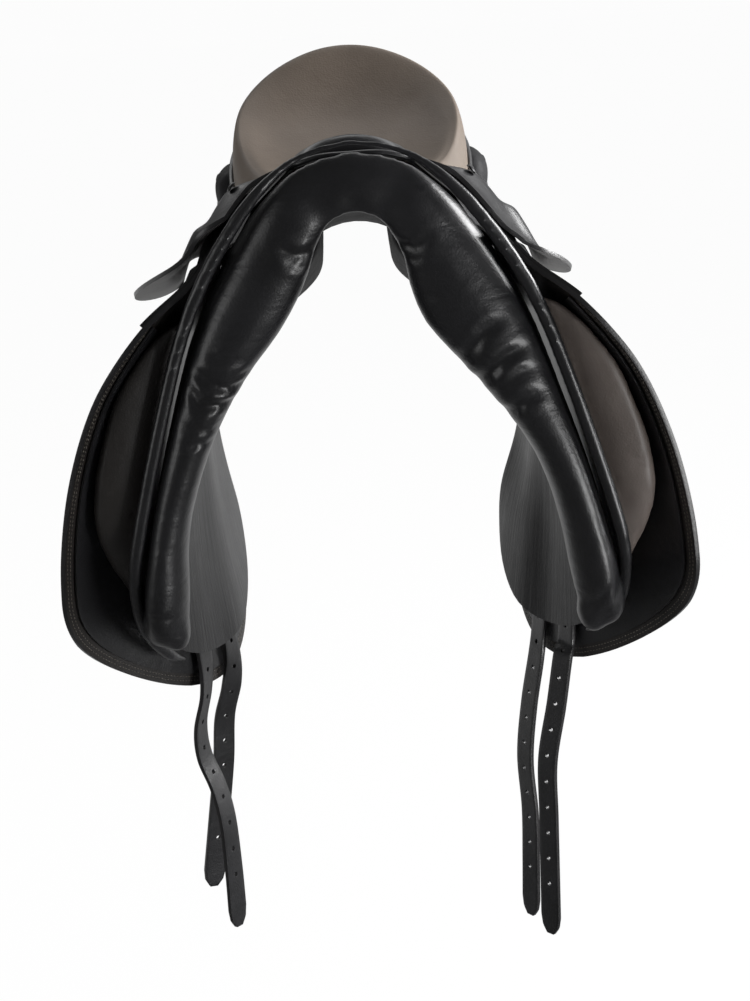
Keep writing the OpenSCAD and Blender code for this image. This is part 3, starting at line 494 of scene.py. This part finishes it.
# Each fold: how deep and how wide it is, and the line it is drawn in along
roll_folds = [
    (1.8, 4.0, [(-140, -243, -69), (-133, -243, -75), (-123, -243, -76), (-112, -235, -74)]),
    (4.6, 5.0, [
        (-157, -243, -83), (-147, -243, -92), (-136, -243, -99), (-123, -243, -104), (-106, -220, -108),
    ]),
    (2.2, 4.0, [(-143, -243, -83), (-133, -243, -91), (-119, -243, -95), (-106, -228, -92)]),
    (2.0, 4.5, [(-163, -243, -98), (-157, -243, -108), (-154, -243, -121)]),
    (3.6, 4.5, [(-156, -243, -118), (-145, -243, -117), (-133, -243, -118), (-118, -218, -122)]),
    (1.4, 5.0, [(-173, -243, -131), (-167, -243, -139), (-158, -243, -140), (-144, -222, -138)]),
    (2.2, 4.0, [(-172, -243, -151), (-164, -243, -153), (-157, -243, -152), (-144, -222, -154)]),
    (4.0, 5.2, [(-69, -244, 24), (-54, -241, 11), (-39, -231, 16)]),
    (2.4, 4.0, [(-67, -243, 9), (-53, -238, 2), (-44, -232, 6)]),
    (3.4, 5.0, [(66, -244, 22), (50, -241, 11), (38, -231, 17)]),
    (2.0, 4.0, [(62, -243, 6), (50, -238, 1), (42, -232, 6)]),
    (3.6, 6.0, [(128, -243, -58), (110, -243, -64), (97, -240, -82), (92, -218, -92)]),
    (4.4, 6.0, [(147, -243, -84), (126, -243, -92), (109, -240, -110), (100, -216, -118)]),
    (1.6, 5.0, [(153, -243, -104), (138, -243, -108), (126, -242, -118)]),
    (3.4, 6.0, [(160, -243, -127), (141, -243, -134), (128, -238, -148), (118, -214, -154)]),
    (2.4, 4.5, [(190, -236, -350), (203, -242, -340), (218, -246, -322)]),
    (1.6, 4.0, [(-226, -240, -322), (-214, -243, -318), (-200, -240, -322)]),
]


def crease(cushion, folds):
    """Draws the skin in along the line of each fold and lifts it a little beside it; the ends run out."""
    points, window = 25, 7
    mean = np.ones(window) / window
    lip_share, lip_at = 0.3, 1.7
    shape = bmesh.new()
    shape.from_mesh(cushion.data)
    shape.normal_update()
    places = np.array([v.co for v in shape.verts]) / MM
    press = np.zeros(len(places))
    for depth, width, line in folds:
        s = np.linspace(0, 1, points)
        run = np.stack([np.interp(s, np.linspace(0, 1, len(line)), axis) for axis in np.transpose(line)], 1)
        run = places[np.linalg.norm(places[:, None] - run[None], axis=2).argmin(0)]
        run = np.stack([np.convolve(np.pad(axis, window // 2, "edge"), mean, "valid") for axis in run.T], 1)
        gap = np.linalg.norm(places[:, None] - run[None], axis=2)
        nearest = s[gap.argmin(1)]
        gap = gap.min(1) / width
        press += depth * np.sqrt(np.sin(np.pi * np.clip(nearest, 0.02, 0.98))) * (
            lip_share * np.exp(-((gap - lip_at) ** 2)) - np.exp(-gap * gap)
        )
    for vert, amount in zip(shape.verts, press * MM):
        vert.co += vert.normal * float(amount)
    shape.to_mesh(cushion.data)
    shape.free()


crease(front_roll, roll_folds)
refine(front_roll, levels=1)
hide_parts("front_roll_left", "front_roll_right")

# Rims: a stuffed piping of black leather sewn along the front edge of each sweat flap, closing round its
# lower corner. The skin is finer than the roll's and drawn tight, and it tapers at the end.
rim_hide = leather_finish(
    "rim_leather", (0.007, 0.007, 0.008, 1), (0.013, 0.013, 0.015, 1),
    rough=0.34, wrinkle=0.15, pull=(20, 20, 40)
)
skin = cut_from(["rim_left", "rim_right"], voxel=3 * MM, passes=20)
rim = dressed("stuffed_rim", skin, [rim_hide], "saddle")
fill(rim, pressure=4, limit=1 * MM)
sweat_middle, sweat_hem = -116, 7.7
rim_reach, rim_fall, rim_out = 118.85, 1.73, 1.5
end_near, end_taper, end_lift, end_share = 42, 34, 2, 0.35
for sign in (-1, 1):
    turn = np.radians([68, 74])
    last, end = on_flank(
        sweat_middle - rim_reach * np.cos(turn), sweat_hem + rim_fall * np.sin(turn), np.full(2, rim_out)
    ) * (sign, 1, 1)
    way = (end - last) / np.linalg.norm(end - last)
    for vert in rim.data.vertices:
        place = np.array(vert.co) / MM
        left_over = (end - place) @ way
        if np.linalg.norm(place - end) < end_near and left_over < end_taper:
            axis = end - way * left_over + (0, 0, end_lift)
            vert.co = mix(axis, place, mix(end_share, 1, ease(left_over / end_taper))) * MM
refine(rim, levels=1)
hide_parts("rim_left", "rim_right")

# Sweat flaps: plain sheets of black leather between panel and flap, sewn to the panel under the skirt.
# Both faces have the grain, which shows long wrinkles down its rear part.
def hem_width(k, hem, bottom):
    """Share of a sheet's full width at station k, closing round below the hem."""
    return np.sqrt(np.clip(1 - (np.maximum(k - hem, 0) / (bottom - hem)) ** 2, 0.004, 1))


def down_sheet(v, top, hem, bottom):
    """Stations down a sheet for v from 0 to 1: even to the hem, then closing round it."""
    share = 0.7
    turn = np.clip((v - share) / (1 - share), 0, 1) * math.radians(86)
    return np.where(v < share, mix(top, hem, v / share), hem + (bottom - hem) * np.sin(turn))


def thicken(made, thickness, offset):
    """Gives a sheet its thickness in millimetres: inwards for an offset of -1, to both sides for 0."""
    thick = made.modifiers.new("thickness", "SOLIDIFY")
    thick.thickness = thickness * MM
    thick.offset = offset
    return thick


def round_edges(made, width, segments):
    round_off = made.modifiers.new("edges", "BEVEL")
    round_off.width = width
    round_off.segments = segments
    round_off.limit_method = "ANGLE"
    round_off.angle_limit = math.radians(50)


def leather_sheet(
    name, rows, columns, face, left, thickness, finishes, body, round_edge=1.2 * MM, soften=0
):
    """A cut sheet; face gives its outer side in millimetres, u from front to back and v from top to hem."""
    sheet = bmesh.new()
    sheet.loops.layers.uv.new("UVMap")
    bmesh.ops.create_grid(sheet, x_segments=columns, y_segments=rows, size=1, calc_uvs=True)
    spread = np.array([v.co.xy for v in sheet.verts]) / 2 + 0.5
    places = face(spread[:, 0], spread[:, 1]) * MM
    if left:
        places[:, 0] *= -1
    else:
        bmesh.ops.reverse_faces(sheet, faces=sheet.faces)
    for vert, place in zip(sheet.verts, places):
        vert.co = place
    smooth(sheet, [v for v in sheet.verts if not v.is_boundary], soften)
    edge = sheet.verts.layers.float.new("edge")
    brim = np.array([v.co for v in sheet.verts if v.is_boundary])
    for vert in sheet.verts:
        vert[edge] = np.linalg.norm(brim - np.array(vert.co), axis=1).min()
    made = piece(name, sheet, finishes, body)
    thick = thicken(made, thickness, offset=-1)
    thick.material_offset = 1
    thick.material_offset_rim = 2
    round_edges(made, round_edge, segments=3)
    return made


sweat_hide = leather_finish(
    "sweat_leather", (0.009, 0.009, 0.010, 1), (0.020, 0.020, 0.021, 1),
    rough=0.46, wrinkle=0.3, pull=(40, 190, 10)
)
cut_edge = leather_finish(
    "cut_edge", (0.008, 0.008, 0.009, 1), (0.015, 0.014, 0.015, 1),
    rough=0.36, wrinkle=0.0, gloss=0.3
)
sweat_top, sweat_bottom, sweat_reach, sweat_out = 3.12, 9.3, 110, 3.0
ridge_at, ridge_width, ridge_height = -58, 24, 4


def sweat_face(u, v, swing):
    k = down_sheet(v, sweat_top, sweat_hem, sweat_bottom)
    width = hem_width(k, sweat_hem, sweat_bottom)
    back = mix(104, 130, ease((k - 3) / 4))
    y = mix(sweat_middle - sweat_reach * width, sweat_middle + back * width, u)
    ridge = ridge_height * np.exp(-(((y - ridge_at) / ridge_width) ** 2)) * ease((k - 5) / 2)
    return on_flank(y, k, sweat_out - ridge - swing * ease((y + 100) / 90) * ease((k - 6.6) / 1.6))


# How far the rear corner hangs in from the flank, in millimetres
sweat_swing = {"left": 3, "right": 15}
for side in ("left", "right"):
    sweat = leather_sheet(
        f"sweat_leather_{side}", rows=70, columns=40, face=lambda u, v: sweat_face(u, v, sweat_swing[side]),
        left=side == "left", thickness=3, finishes=[sweat_hide, sweat_hide, cut_edge], body="saddle",
    )
    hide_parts(f"sweat_flap_{side}")

# Knee blocks: stiff foam covered in soft leather, sewn on the sweat flap under the front of the flap.
# The right cover is taupe; the left one is that taupe painted far darker as painted shade. Both run out to a
# lip at the top and bottom.
block_hides = {
    # Painted shade: the left cover is the taupe block leather made far darker, as if it lay in shadow
    "left": leather_finish(
        "painted_shade_block_leather", (0.013, 0.011, 0.010, 1), (0.021, 0.018, 0.016, 1),
        rough=0.5, wrinkle=0.2, gloss=0.06
    ),
    "right": leather_finish(
        "block_leather", (0.098, 0.080, 0.070, 1), (0.150, 0.124, 0.110, 1),
        rough=0.5, wrinkle=0.35, gloss=0.06
    ),
}
for side in ("left", "right"):
    skin = cut_from([f"knee_block_{side}"], voxel=4 * MM, passes=8)
    block = dressed(f"covered_block_{side}", skin, [block_hides[side]], "saddle")
    fill(block, pressure=4, limit=1.5 * MM)
    refine(block, levels=1)
    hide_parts(f"knee_block_{side}")

# Seat: one taupe leather skin drawn over foam, from the low middle up to the crests of pommel and cantle
# and down to a piped welt. The cover is taut, with no seam across it, and black at the pommel's front.
taupe_hide = leather_finish(
    "taupe_leather", (0.116, 0.089, 0.067, 1), (0.156, 0.122, 0.095, 1),
    rough=0.56, wrinkle=0.2, gloss=0.03
)
# The seat's lowest point, and its crest from the pommel's middle round to the cantle's, station by station
seat_low = np.array([0, 22, 50], float)
crest = np.array([
    (0, -198, 113), (24, -195, 109), (40, -184, 101), (49, -150, 93), (60, -105, 77), (76, -50, 62),
    (92, 10, 55), (111, 70, 66), (121, 125, 92), (114, 170, 119), (84, 203, 146), (42, 221, 165),
    (0, 228, 171),
], float)
cantle_station = len(crest) - 1
hinge_front, hinge_rear = flank(FRONT_AT, 1), flank(0, 1)


def hinge_line(y):
    """The straight line that the skirt hinges on, under the welt."""
    return mix(hinge_front, hinge_rear, 1 - y / FRONT_AT)


welt_line = np.array([
    (0, -211, 96), (28, -210, 95), hinge_line(-196), hinge_line(-150), hinge_line(-105), hinge_line(-50),
    hinge_line(8), (122, 70, 24), (130, 125, 38), (128, 172, 62), (108, 215, 95), (58, 241, 121),
    (0, 248, 130),
], float)
hinge_first, hinge_last = 2, 6


def round_along(keys, t):
    """The curve through the keys, which runs on over the saddle's middle as its own mirror image."""
    return along(np.concatenate([keys[1:2] * (-1, 1, 1), keys, keys[-2:-1] * (-1, 1, 1)]), t + 1)


def welt_point(t):
    p = round_along(welt_line, t)
    return hinge_line(p[1]) if hinge_first < t < hinge_last else p


def welt_out(t):
    """The level direction away from the seat at the welt's station t."""
    if t <= 0 or t >= cantle_station:
        return np.array([0, -1 if t <= 0 else 1, 0], float)
    d = welt_point(t + 0.05) - welt_point(t - 0.05)
    d = np.array([d[1], -d[0], 0])
    return d / np.linalg.norm(d)


# How far out and how far up each spoke's inner points lie, as shares of the way from the low to the crest
spoke_parts = (0.4, 0.73, 0.92)
pommel_rise, cantle_rise = np.array([0.17, 0.52, 0.86]), np.array([0.07, 0.42, 0.85])
hem_gap, side_bulge = 2.2, 4
crest_station, hem_station = 4, 6


def spoke(t, s):
    """Points of the seat's skin at the stations s of the spoke that meets the crest at t."""
    top = round_along(crest, t)
    hem = welt_point(t) - hem_gap * welt_out(t)
    rise = mix(pommel_rise, cantle_rise, ease(t / cantle_station))
    keys = [seat_low]
    for part, lift in zip(spoke_parts, rise):
        p = mix(seat_low, top, part)
        keys.append(np.array([p[0], p[1], mix(seat_low[2], top[2], lift)]))
    out = np.array([top[0], top[1] - seat_low[1], 0])
    keys += [top, mix(top, hem, 0.45) + side_bulge * out / np.linalg.norm(out), hem]
    return along(keys, s)


cover = bmesh.new()
cover.loops.layers.uv.new("UVMap")
bmesh.ops.create_grid(cover, x_segments=128, y_segments=44, size=1, calc_uvs=True)
reach = cover.verts.layers.float.new("reach")
turns = {}
# Below the crest, the cover is black from the pommel's middle to this station
pommel_end = 3
for part in cover.faces:
    middle = part.calc_center_median()
    t = (1 - abs(middle.x)) * cantle_station
    if t < pommel_end and (middle.y + 1) / 2 * hem_station > crest_station:
        part.material_index = 1
for vert in cover.verts:
    vert[reach] = (vert.co.y + 1) / 2 * hem_station
    turns.setdefault(round((vert.co.x + 1) * cantle_station, 5), []).append(vert)
for t, row in turns.items():
    stations = np.array([(v.co.y + 1) / 2 * hem_station for v in row])
    places = spoke(min(t, 2 * cantle_station - t), stations) * MM
    for vert, place in zip(row, places):
        vert.co = place if t <= cantle_station else (-place[0], place[1], place[2])
bmesh.ops.remove_doubles(cover, verts=cover.verts, dist=2e-5)
for dish_end, passes in ((3.3, 60), (5.4, 8)):
    smooth(cover, [v for v in cover.verts if v[reach] < dish_end], passes)
bmesh.ops.recalc_face_normals(cover, faces=cover.faces)
if max(cover.faces, key=lambda f: f.calc_center_median().z).normal.z < 0:
    bmesh.ops.reverse_faces(cover, faces=cover.faces)
seat = piece("seat_skin", cover, [taupe_hide, roll_hide], "saddle")
thicken(seat, thickness=3, offset=-1)
refine(seat, levels=1)
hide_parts("seat_cover", "seat_foam")


def piping(name, path, radius, finish):
    """A closed round of leather piping along a path given in millimetres."""
    line = bpy.data.curves.new(name, "CURVE")
    line.dimensions = "3D"
    line.bevel_depth = radius * MM
    line.bevel_resolution = 4
    line.use_fill_caps = True
    run = line.splines.new("POLY")
    run.points.add(len(path) - 1)
    for point, place in zip(run.points, path):
        point.co = (*(np.asarray(place) * MM), 1)
    run.use_cyclic_u = True
    form = stand(name, line)
    mesh = worked(form)
    bpy.data.objects.remove(form)
    return dressed(name, mesh, [finish], "saddle")


half = [welt_point(t) for t in np.linspace(0, cantle_station, 90)]
half[0][0] = half[-1][0] = 0
round_welt = half + [p * (-1, 1, 1) for p in half[-2:0:-1]]
welt = piping("seat_piping", round_welt, 3, rim_hide)
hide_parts("seat_welt")

# Cantle cover and side facings: thin black leather that closes the back of the cantle and the sides
# below the welt. They are sewn under the welt and tucked in along the panels.
body_hide = leather_finish(
    "body_leather", (0.007, 0.007, 0.008, 1), (0.013, 0.013, 0.015, 1),
    rough=0.4, wrinkle=0.25, pull=(24, 24, 40)
)


def facing_sheet(name, rows, columns, face):
    sheet = bmesh.new()
    bmesh.ops.create_grid(sheet, x_segments=columns, y_segments=rows, size=1)
    for vert in sheet.verts:
        vert.co = Vector(face(vert.co.x, vert.co.y / 2 + 0.5)) * MM
    made = piece(name, sheet, [body_hide], "saddle")
    thicken(made, thickness=2.6, offset=0)
    return made


under_welt = np.array([0, 0, 4.5])
cover_first = 9
# How the cantle cover falls from the welt: at its ends, half-way and in the middle
cover_falls = [(0, 0, -26), (2, -4, -50), (0, -9, -79)]


def cantle_face(u, v):
    width = cantle_station - cover_first
    t = cantle_station - width * abs(u)
    fall = along(cover_falls, 2 * ease((t - cover_first) / width))
    p = welt_point(t) - under_welt + v * fall
    return (p[0] * np.sign(u), p[1], p[2])


cantle = facing_sheet("cantle_back", rows=12, columns=60, face=cantle_face)
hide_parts("cantle_cover")

facing_first, facing_last = 5.75, 8.94
facing_foot, facing_out = 3.05, 2.2


def facing_face(u, v, sign):
    t = mix(facing_first, facing_last, u / 2 + 0.5)
    top = welt_point(t) - under_welt
    p = mix(top, on_flank(top[1], facing_foot, facing_out), v)
    return (p[0] * sign, p[1], p[2])


for side, sign in (("left", -1), ("right", 1)):
    facing = facing_sheet(f"facing_{side}", rows=8, columns=32, face=lambda u, v: facing_face(u, v, sign))
    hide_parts(f"side_facing_{side}")

# Flaps: heavy black leather hung from the tree below the skirt, with a sewn lining inside and a guard
# outside. The inner margin is a brown band with two rows of pale thread; the cut edge is painted black.
flap_hide = leather_finish(
    "flap_leather", (0.006, 0.006, 0.007, 1), (0.012, 0.012, 0.014, 1),
    rough=0.37, wrinkle=0.2, pull=(22, 22, 22), gloss=0.2
)
band_hide = leather_finish(
    "flap_band", (0.010, 0.008, 0.007, 1), (0.020, 0.016, 0.014, 1),
    rough=0.55, wrinkle=0.2, edge=(0.007, 0.007, 0.008, 1)
)
lining_hide = leather_finish(
    "lining_leather", (0.007, 0.007, 0.008, 1), (0.015, 0.015, 0.017, 1),
    rough=0.42, wrinkle=0.5, pull=(20, 30, 20)
)
flap_middle, flap_top, flap_hem, flap_bottom = -113, 1.9, 8.5, 9.8
flap_half, flap_thickness = 141, 4.5
lining_top, lining_bottom, lining_reach, lining_back, lining_rise = 4.85, 9.62, 127, 122, 1.5
guard_top, guard_foot, guard_inset, guard_back = 3.5, 4.9, 4, -48
guard_gap, guard_thickness = 0.7, 3.5


def flap_reach(k):
    """The flap's width ahead of its middle."""
    return mix(97, flap_half, ease((k - 3.4) / 2))


def flap_back(k):
    """The flap's width behind its middle."""
    return mix(108, flap_half, ease((k - 2) / 4))


def flap_out(k, y):
    """Distance of the flap's inner side from the flank: near it at the back, standing off at the front."""
    rest = 3 * ease((3.4 - k) / 0.6) + mix(16.1, 16.5, ease(k - 4.6))
    free = along([3, 3, 3.5, 5, 11, 33, 57, 66, 64, 55, 48], k)
    spread = mix(52, 165, ease((k - 3.6) / 1.6))
    return mix(free, rest, ease((y - flap_middle + flap_reach(k)) / spread))


def flap_face(u, v):
    k = down_sheet(v, flap_top, flap_hem, flap_bottom)
    width = hem_width(k, flap_hem, flap_bottom)
    y = mix(flap_middle - flap_reach(k) * width, flap_middle + flap_back(k) * width, u)
    return on_flank(y, k, flap_out(k, y) + flap_thickness)


def lining_face(u, v):
    k = down_sheet(v, lining_top, flap_hem, lining_bottom)
    width = hem_width(k, flap_hem, lining_bottom)
    y = mix(flap_middle - lining_reach * width, flap_middle + lining_back * width, u)
    return on_flank(y, k, flap_out(k, y) - lining_rise)


def guard_face(u, v):
    k = mix(guard_top, guard_foot, v)
    y = mix(flap_middle - flap_reach(k) + guard_inset, guard_back, u)
    return on_flank(y, k, flap_out(k, y) + flap_thickness + guard_gap + guard_thickness)


# The stirrup bar passes through an opening in flap and guard
bar_y, bar_station = -112, 3.55
bar_centre = flank(bar_y, bar_station)
bar_out = flank_normal(bar_y, bar_station)
bar_back = np.array([0, 1, 0]) - bar_out * bar_out[1]
bar_back /= np.linalg.norm(bar_back)
bar_up = np.cross(bar_out, bar_back)
bar_opening = ((bar_back, -52, 64), (bar_up, -27, 33))


def open_for_bar(made, left):
    turn = np.array([-1, 1, 1]) if left else np.array([1, 1, 1])
    cut = bmesh.new()
    cut.from_mesh(made.data)
    for axis, low, high in bar_opening:
        for reach in (low, high):
            bmesh.ops.bisect_plane(
                cut, geom=cut.verts[:] + cut.edges[:] + cut.faces[:], dist=1e-6,
                plane_co=(bar_centre + axis * reach) * turn * MM, plane_no=axis * turn,
            )
    inside = []
    for part in cut.faces:
        p = np.array(part.calc_center_median()) / MM * turn - bar_centre
        if all(low < p @ axis < high for axis, low, high in bar_opening):
            inside.append(part)
    bmesh.ops.delete(cut, geom=inside, context="FACES")
    cut.to_mesh(made.data)
    cut.free()


thread_finish, start = new_finish("thread")
place = start.node("ShaderNodeTexCoord", output="Object")
twist = start.noise(place, scale=900.0, detail=2.0)
tone = twist.blend((0.10, 0.09, 0.075, 1), (0.16, 0.145, 0.12, 1))
start.surface({"Base Color": tone, "Roughness": 0.7})


def stitch_row(name, path, outward, left, body):
    """A row of stitches along a path in millimetres, lying on a face whose outward directions are given."""
    pitch, length, width = 4.2, 2.9, 0.9
    path, outward = np.array(path), np.array(outward)
    if left:
        path, outward = path * (-1, 1, 1), outward * (-1, 1, 1)
    run = np.concatenate([[0], np.cumsum(np.linalg.norm(np.diff(path, axis=0), axis=1))])
    row = bmesh.new()
    for d in np.arange(pitch, run[-1] - pitch, pitch):
        here, ahead, up = (
            Vector([np.interp(x, run, column) for column in rows.T])
            for x, rows in ((d, path), (d + 0.5, path), (d, outward))
        )
        ahead = (ahead - here).normalized()
        across = up.cross(ahead).normalized()
        up = ahead.cross(across)
        turn = Matrix((ahead * length / 2, across * width / 2, up * width / 2)).transposed().to_4x4()
        turn = Matrix.Translation(here) @ turn
        bmesh.ops.create_icosphere(row, subdivisions=1, radius=1, matrix=turn)
    bmesh.ops.scale(row, vec=(MM, MM, MM), verts=row.verts)
    return piece(name, row, [thread_finish], body)


station_length = 75
thread_lift = 0.1


def flap_line(inset, first):
    """Points a little inside the flap's free edge: down the front, round the hem and up the back."""
    front = np.linspace(first, flap_hem, 60)
    bottom = flap_bottom - inset / station_length
    turn = np.radians(np.linspace(2, 178, 120))
    k = np.concatenate([front, mix(flap_hem, bottom, np.sin(turn)), front[::-1]])
    y = np.concatenate([
        flap_middle - flap_reach(front) + inset,
        flap_middle - (flap_half - inset) * np.cos(turn),
        flap_middle + flap_back(front[::-1]) - inset,
    ])
    return y, k


for side in ("left", "right"):
    left = side == "left"
    body = f"flap_{side}"
    flap = leather_sheet(
        f"flap_leather_{side}", rows=96, columns=64, face=flap_face, left=left, thickness=flap_thickness,
        finishes=[flap_hide, band_hide, cut_edge], body=body, round_edge=1.4 * MM,
    )
    open_for_bar(flap, left)
    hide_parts(f"flap_{side}")
    lining = leather_sheet(
        f"lining_leather_{side}", rows=60, columns=50, face=lining_face, left=left, thickness=2,
        finishes=[lining_hide, lining_hide, cut_edge], body=body, round_edge=0.9 * MM,
    )
    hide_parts(f"flap_lining_{side}")
    guard = leather_sheet(
        f"guard_leather_{side}", rows=24, columns=50, face=guard_face, left=left, thickness=guard_thickness,
        finishes=[flap_hide, flap_hide, cut_edge], body=body,
    )
    open_for_bar(guard, left)
    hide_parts(f"flap_guard_{side}")
    for row, inset in enumerate((5.0, 9.5)):
        y, k = flap_line(inset, guard_foot)
        outward = flank_normal(y, k)
        inner = on_flank(y, k, flap_out(k, y) - thread_lift)
        outer = on_flank(y, k, flap_out(k, y) + flap_thickness + thread_lift)
        stitch_row(f"flap_thread_{side}_{row}", inner, -outward, left, body)
        stitch_row(f"flap_outer_thread_{side}_{row}", outer, outward, left, body)

# Skirts: small leaves of black leather hinged along the welt, standing out over the stirrup bars.
# Their inner side is a grey lining, the cut edge is thick and polished, and a domed nail holds each one.
skirt_hide = leather_finish(
    "skirt_leather", (0.007, 0.007, 0.008, 1), (0.013, 0.013, 0.015, 1),
    rough=0.34, wrinkle=0.15, gloss=0.25
)
skirt_lining = leather_finish(
    "skirt_lining", (0.08, 0.077, 0.075, 1), (0.13, 0.126, 0.122, 1),
    rough=0.6, wrinkle=0.2
)
# How far each skirt stands out from the flank at every half station down it, along its front and its rear
skirt_outs = {
    "left": ([-1, -1, 5.4, 16.5, 24.3, 28.7, 58.4], [-1, -1, 3.1, 12.1, 25.4, 51.6, 100.9]),
    "right": ([-1, -1, 2, 3.9, 4.8, 18.7, 52.7], [-1, -1, 2, 8, 19.8, 45.5, 81.6]),
}
skirt_middle, skirt_front = -116, -211
skirt_top, skirt_hem, skirt_bottom = 1.1, 2.75, 3.88
skirt_thickness, skirt_gap, hinge_gap, bar_height = 4, 1.4, 3.7, 34


def skirt_face(u, v, outs):
    k = down_sheet(v, skirt_top, skirt_hem, skirt_bottom)
    width = hem_width(k, skirt_hem, skirt_bottom)
    back = mix(116, 96, ease((k - 1) / 2))
    y = mix(skirt_middle + (skirt_front - skirt_middle) * width, skirt_middle + back * width, u)
    # The leaf begins a little below the hinge line, which is station 1
    step = 0.02
    first = 1 + hinge_gap * step / np.linalg.norm(flank(y, 1 + step) - flank(y, 1), axis=-1)
    k = np.where(k > 2, k, mix(first, 2, (k - skirt_top) / (2 - skirt_top)))
    behind = y - skirt_front
    free = mix(along(outs[0], 2 * (k - 1)), along(outs[1], 2 * (k - 1)), ease(behind / 190))
    tuck = 9 * ease((k - 1) / 0.8) * ease((3.4 - k) / 1.2) * (1 - ease(behind / 50))
    stack = flap_out(k, y) + flap_thickness + skirt_gap
    stack += ease((k - 3.1) / 0.4) * (guard_gap + guard_thickness)
    over_bar = bar_height * ease((k - 2) / 0.65) * ease((y + 185) / 35)
    out = np.maximum.reduce([free - tuck, over_bar, mix(-1, stack, ease((k - 1.05) / 0.85))])
    return on_flank(y, k, out + skirt_thickness)


for side in ("left", "right"):
    skirt = leather_sheet(
        f"skirt_leather_{side}", rows=60, columns=60, face=lambda u, v: skirt_face(u, v, skirt_outs[side]),
        left=side == "left", thickness=skirt_thickness, finishes=[skirt_hide, skirt_lining, cut_edge],
        body=f"skirt_{side}", round_edge=1.6 * MM, soften=14,
    )
    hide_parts(f"skirt_{side}")

# Billets: four straps of strong black leather sewn to the girth webs, punched with a row of holes for the
# girth. They hang down inside the flap and run out below it, a little twisted from use, with a cut tip.
billet_hide = leather_finish(
    "billet_leather", (0.007, 0.007, 0.008, 1), (0.015, 0.015, 0.017, 1),
    rough=0.38, wrinkle=0.3, pull=(20, 20, 60), gloss=0.12
)
hung_stations = np.array([4.66, 5.2, 5.8, 6.6, 7.4, 8.2, 8.9, 9.5])
last_hung = len(hung_stations) - 1
# The strap's width at some distances from its tip
tip_distances, tip_widths = [0, 8, 20], [9, 20.5, 25]
strap_thickness = 4
hole_count, hole_pitch, first_hole, hole_radius = 11, 29, 58, 2.5


def hung(y, sign):
    """The strap's path between sweat flap and flap."""
    k = hung_stations
    return on_flank(y, k, mix(8.4, 8, ease(k - 4.7))) * (sign, 1, 1)


def length_unit(v):
    return v / np.linalg.norm(v, axis=-1, keepdims=True)


# Each strap: how far back it hangs, its side, the path of its free part, and the way its width points
# where it comes free and at the tip
billets = {
    "right_front": (
        -112, 1, [
            (183, -116, -445), (174, -120, -497), (162, -125, -558), (160, -131, -620), (158, -138, -688),
            (156, -145, -754),
        ],
        (-0.58, 0.81, 0), (-0.66, 0.75, 0),
    ),
    "right_rear": (
        -66, 1, [
            (160, -67, -464), (150, -68, -519), (143, -72, -579), (145, -78, -641), (143, -84, -699),
            (140, -90, -763),
        ],
        (-0.42, 0.91, 0), (-0.6, 0.8, 0),
    ),
    "left_front": (
        -112, -1, [
            (-191, -112, -458), (-200, -114, -494), (-199, -118, -526), (-188, -122, -560),
            (-181, -128, -597), (-179, -136, -652), (-179, -146, -716),
        ],
        (0.24, 0.97, 0), (0.6, 0.8, 0),
    ),
    "left_rear": (
        -66, -1, [
            (-168, -66, -470), (-179, -66, -508), (-185, -67, -559), (-195, -69, -618), (-203, -72, -665),
            (-210, -76, -706),
        ],
        (0.7, 0.71, 0), (0.88, 0.47, 0),
    ),
}
for name, (y, sign, free, first_twist, last_twist) in billets.items():
    path = np.concatenate([hung(y, sign), np.array(free, float)])
    last = len(path) - 1
    s = np.linspace(0, last, 400)
    run = np.concatenate([[0], np.cumsum(np.linalg.norm(np.diff(along(path, s), axis=0), axis=1))])

    def strap_frame(d):
        """Middle, width and thickness directions of the strap at the distance d from its upper end.

        It lies flat along the flank down to the hem, and turns to its own direction below it.
        """
        t = np.interp(d, run, s)
        k = np.minimum(hung_stations[0] + 0.7 * t, 9)
        top = length_unit(flank(y + 1, k) - flank(y - 1, k)) * (sign, 1, 1)
        share = np.clip((t - last_hung) / (last - last_hung), 0, 1)[..., None]
        loose = length_unit(mix(np.array(first_twist), np.array(last_twist), share))
        ahead = length_unit(along(path, t + 0.05) - along(path, t - 0.05))
        across = mix(top, loose, ease((t - 6.2) / 2)[..., None])
        across = length_unit(across - ahead * np.sum(across * ahead, -1, keepdims=True))
        return along(path, t), across, length_unit(np.cross(ahead, across))

    strap = bmesh.new()
    strap.loops.layers.uv.new("UVMap")
    bmesh.ops.create_grid(strap, x_segments=6, y_segments=220, size=1, calc_uvs=True)
    spread = np.array([v.co.xy for v in strap.verts]) / 2 + (0, 0.5)
    d = spread[:, 1] * run[-1]
    width = np.interp(run[-1] - d, tip_distances, tip_widths)
    middle, across, _ = strap_frame(d)
    places = (middle + across * (spread[:, 0] * width)[:, None]) * MM
    for vert, place in zip(strap.verts, places):
        vert.co = place
    finishes = [billet_hide, billet_hide, cut_edge]
    billet = piece(f"strap_{name}", strap, finishes, f"billet_{name}")
    thicken(billet, strap_thickness, offset=0).material_offset_rim = 2
    punches = bmesh.new()
    for hole in range(hole_count):
        place, _, through = strap_frame(np.array(run[-1] - first_hole - hole_pitch * hole))
        turn = Vector(through).to_track_quat("Z", "Y").to_matrix().to_4x4()
        bmesh.ops.create_cone(
            punches, cap_ends=True, segments=20, radius1=hole_radius * MM, radius2=hole_radius * MM,
            depth=9 * MM, matrix=Matrix.Translation(Vector(place) * MM) @ turn,
        )
    mesh = bpy.data.meshes.new("punches")
    punches.to_mesh(mesh)
    punches.free()
    punch = stand("punches", mesh)
    punched = billet.modifiers.new("holes", "BOOLEAN")
    punched.operation = "DIFFERENCE"
    punched.object = punch
    done = worked(billet)
    billet.modifiers.clear()
    billet.data = done
    bpy.data.objects.remove(punch)
    round_edges(billet, 0.8 * MM, segments=2)
    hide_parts(f"billet_{name}")
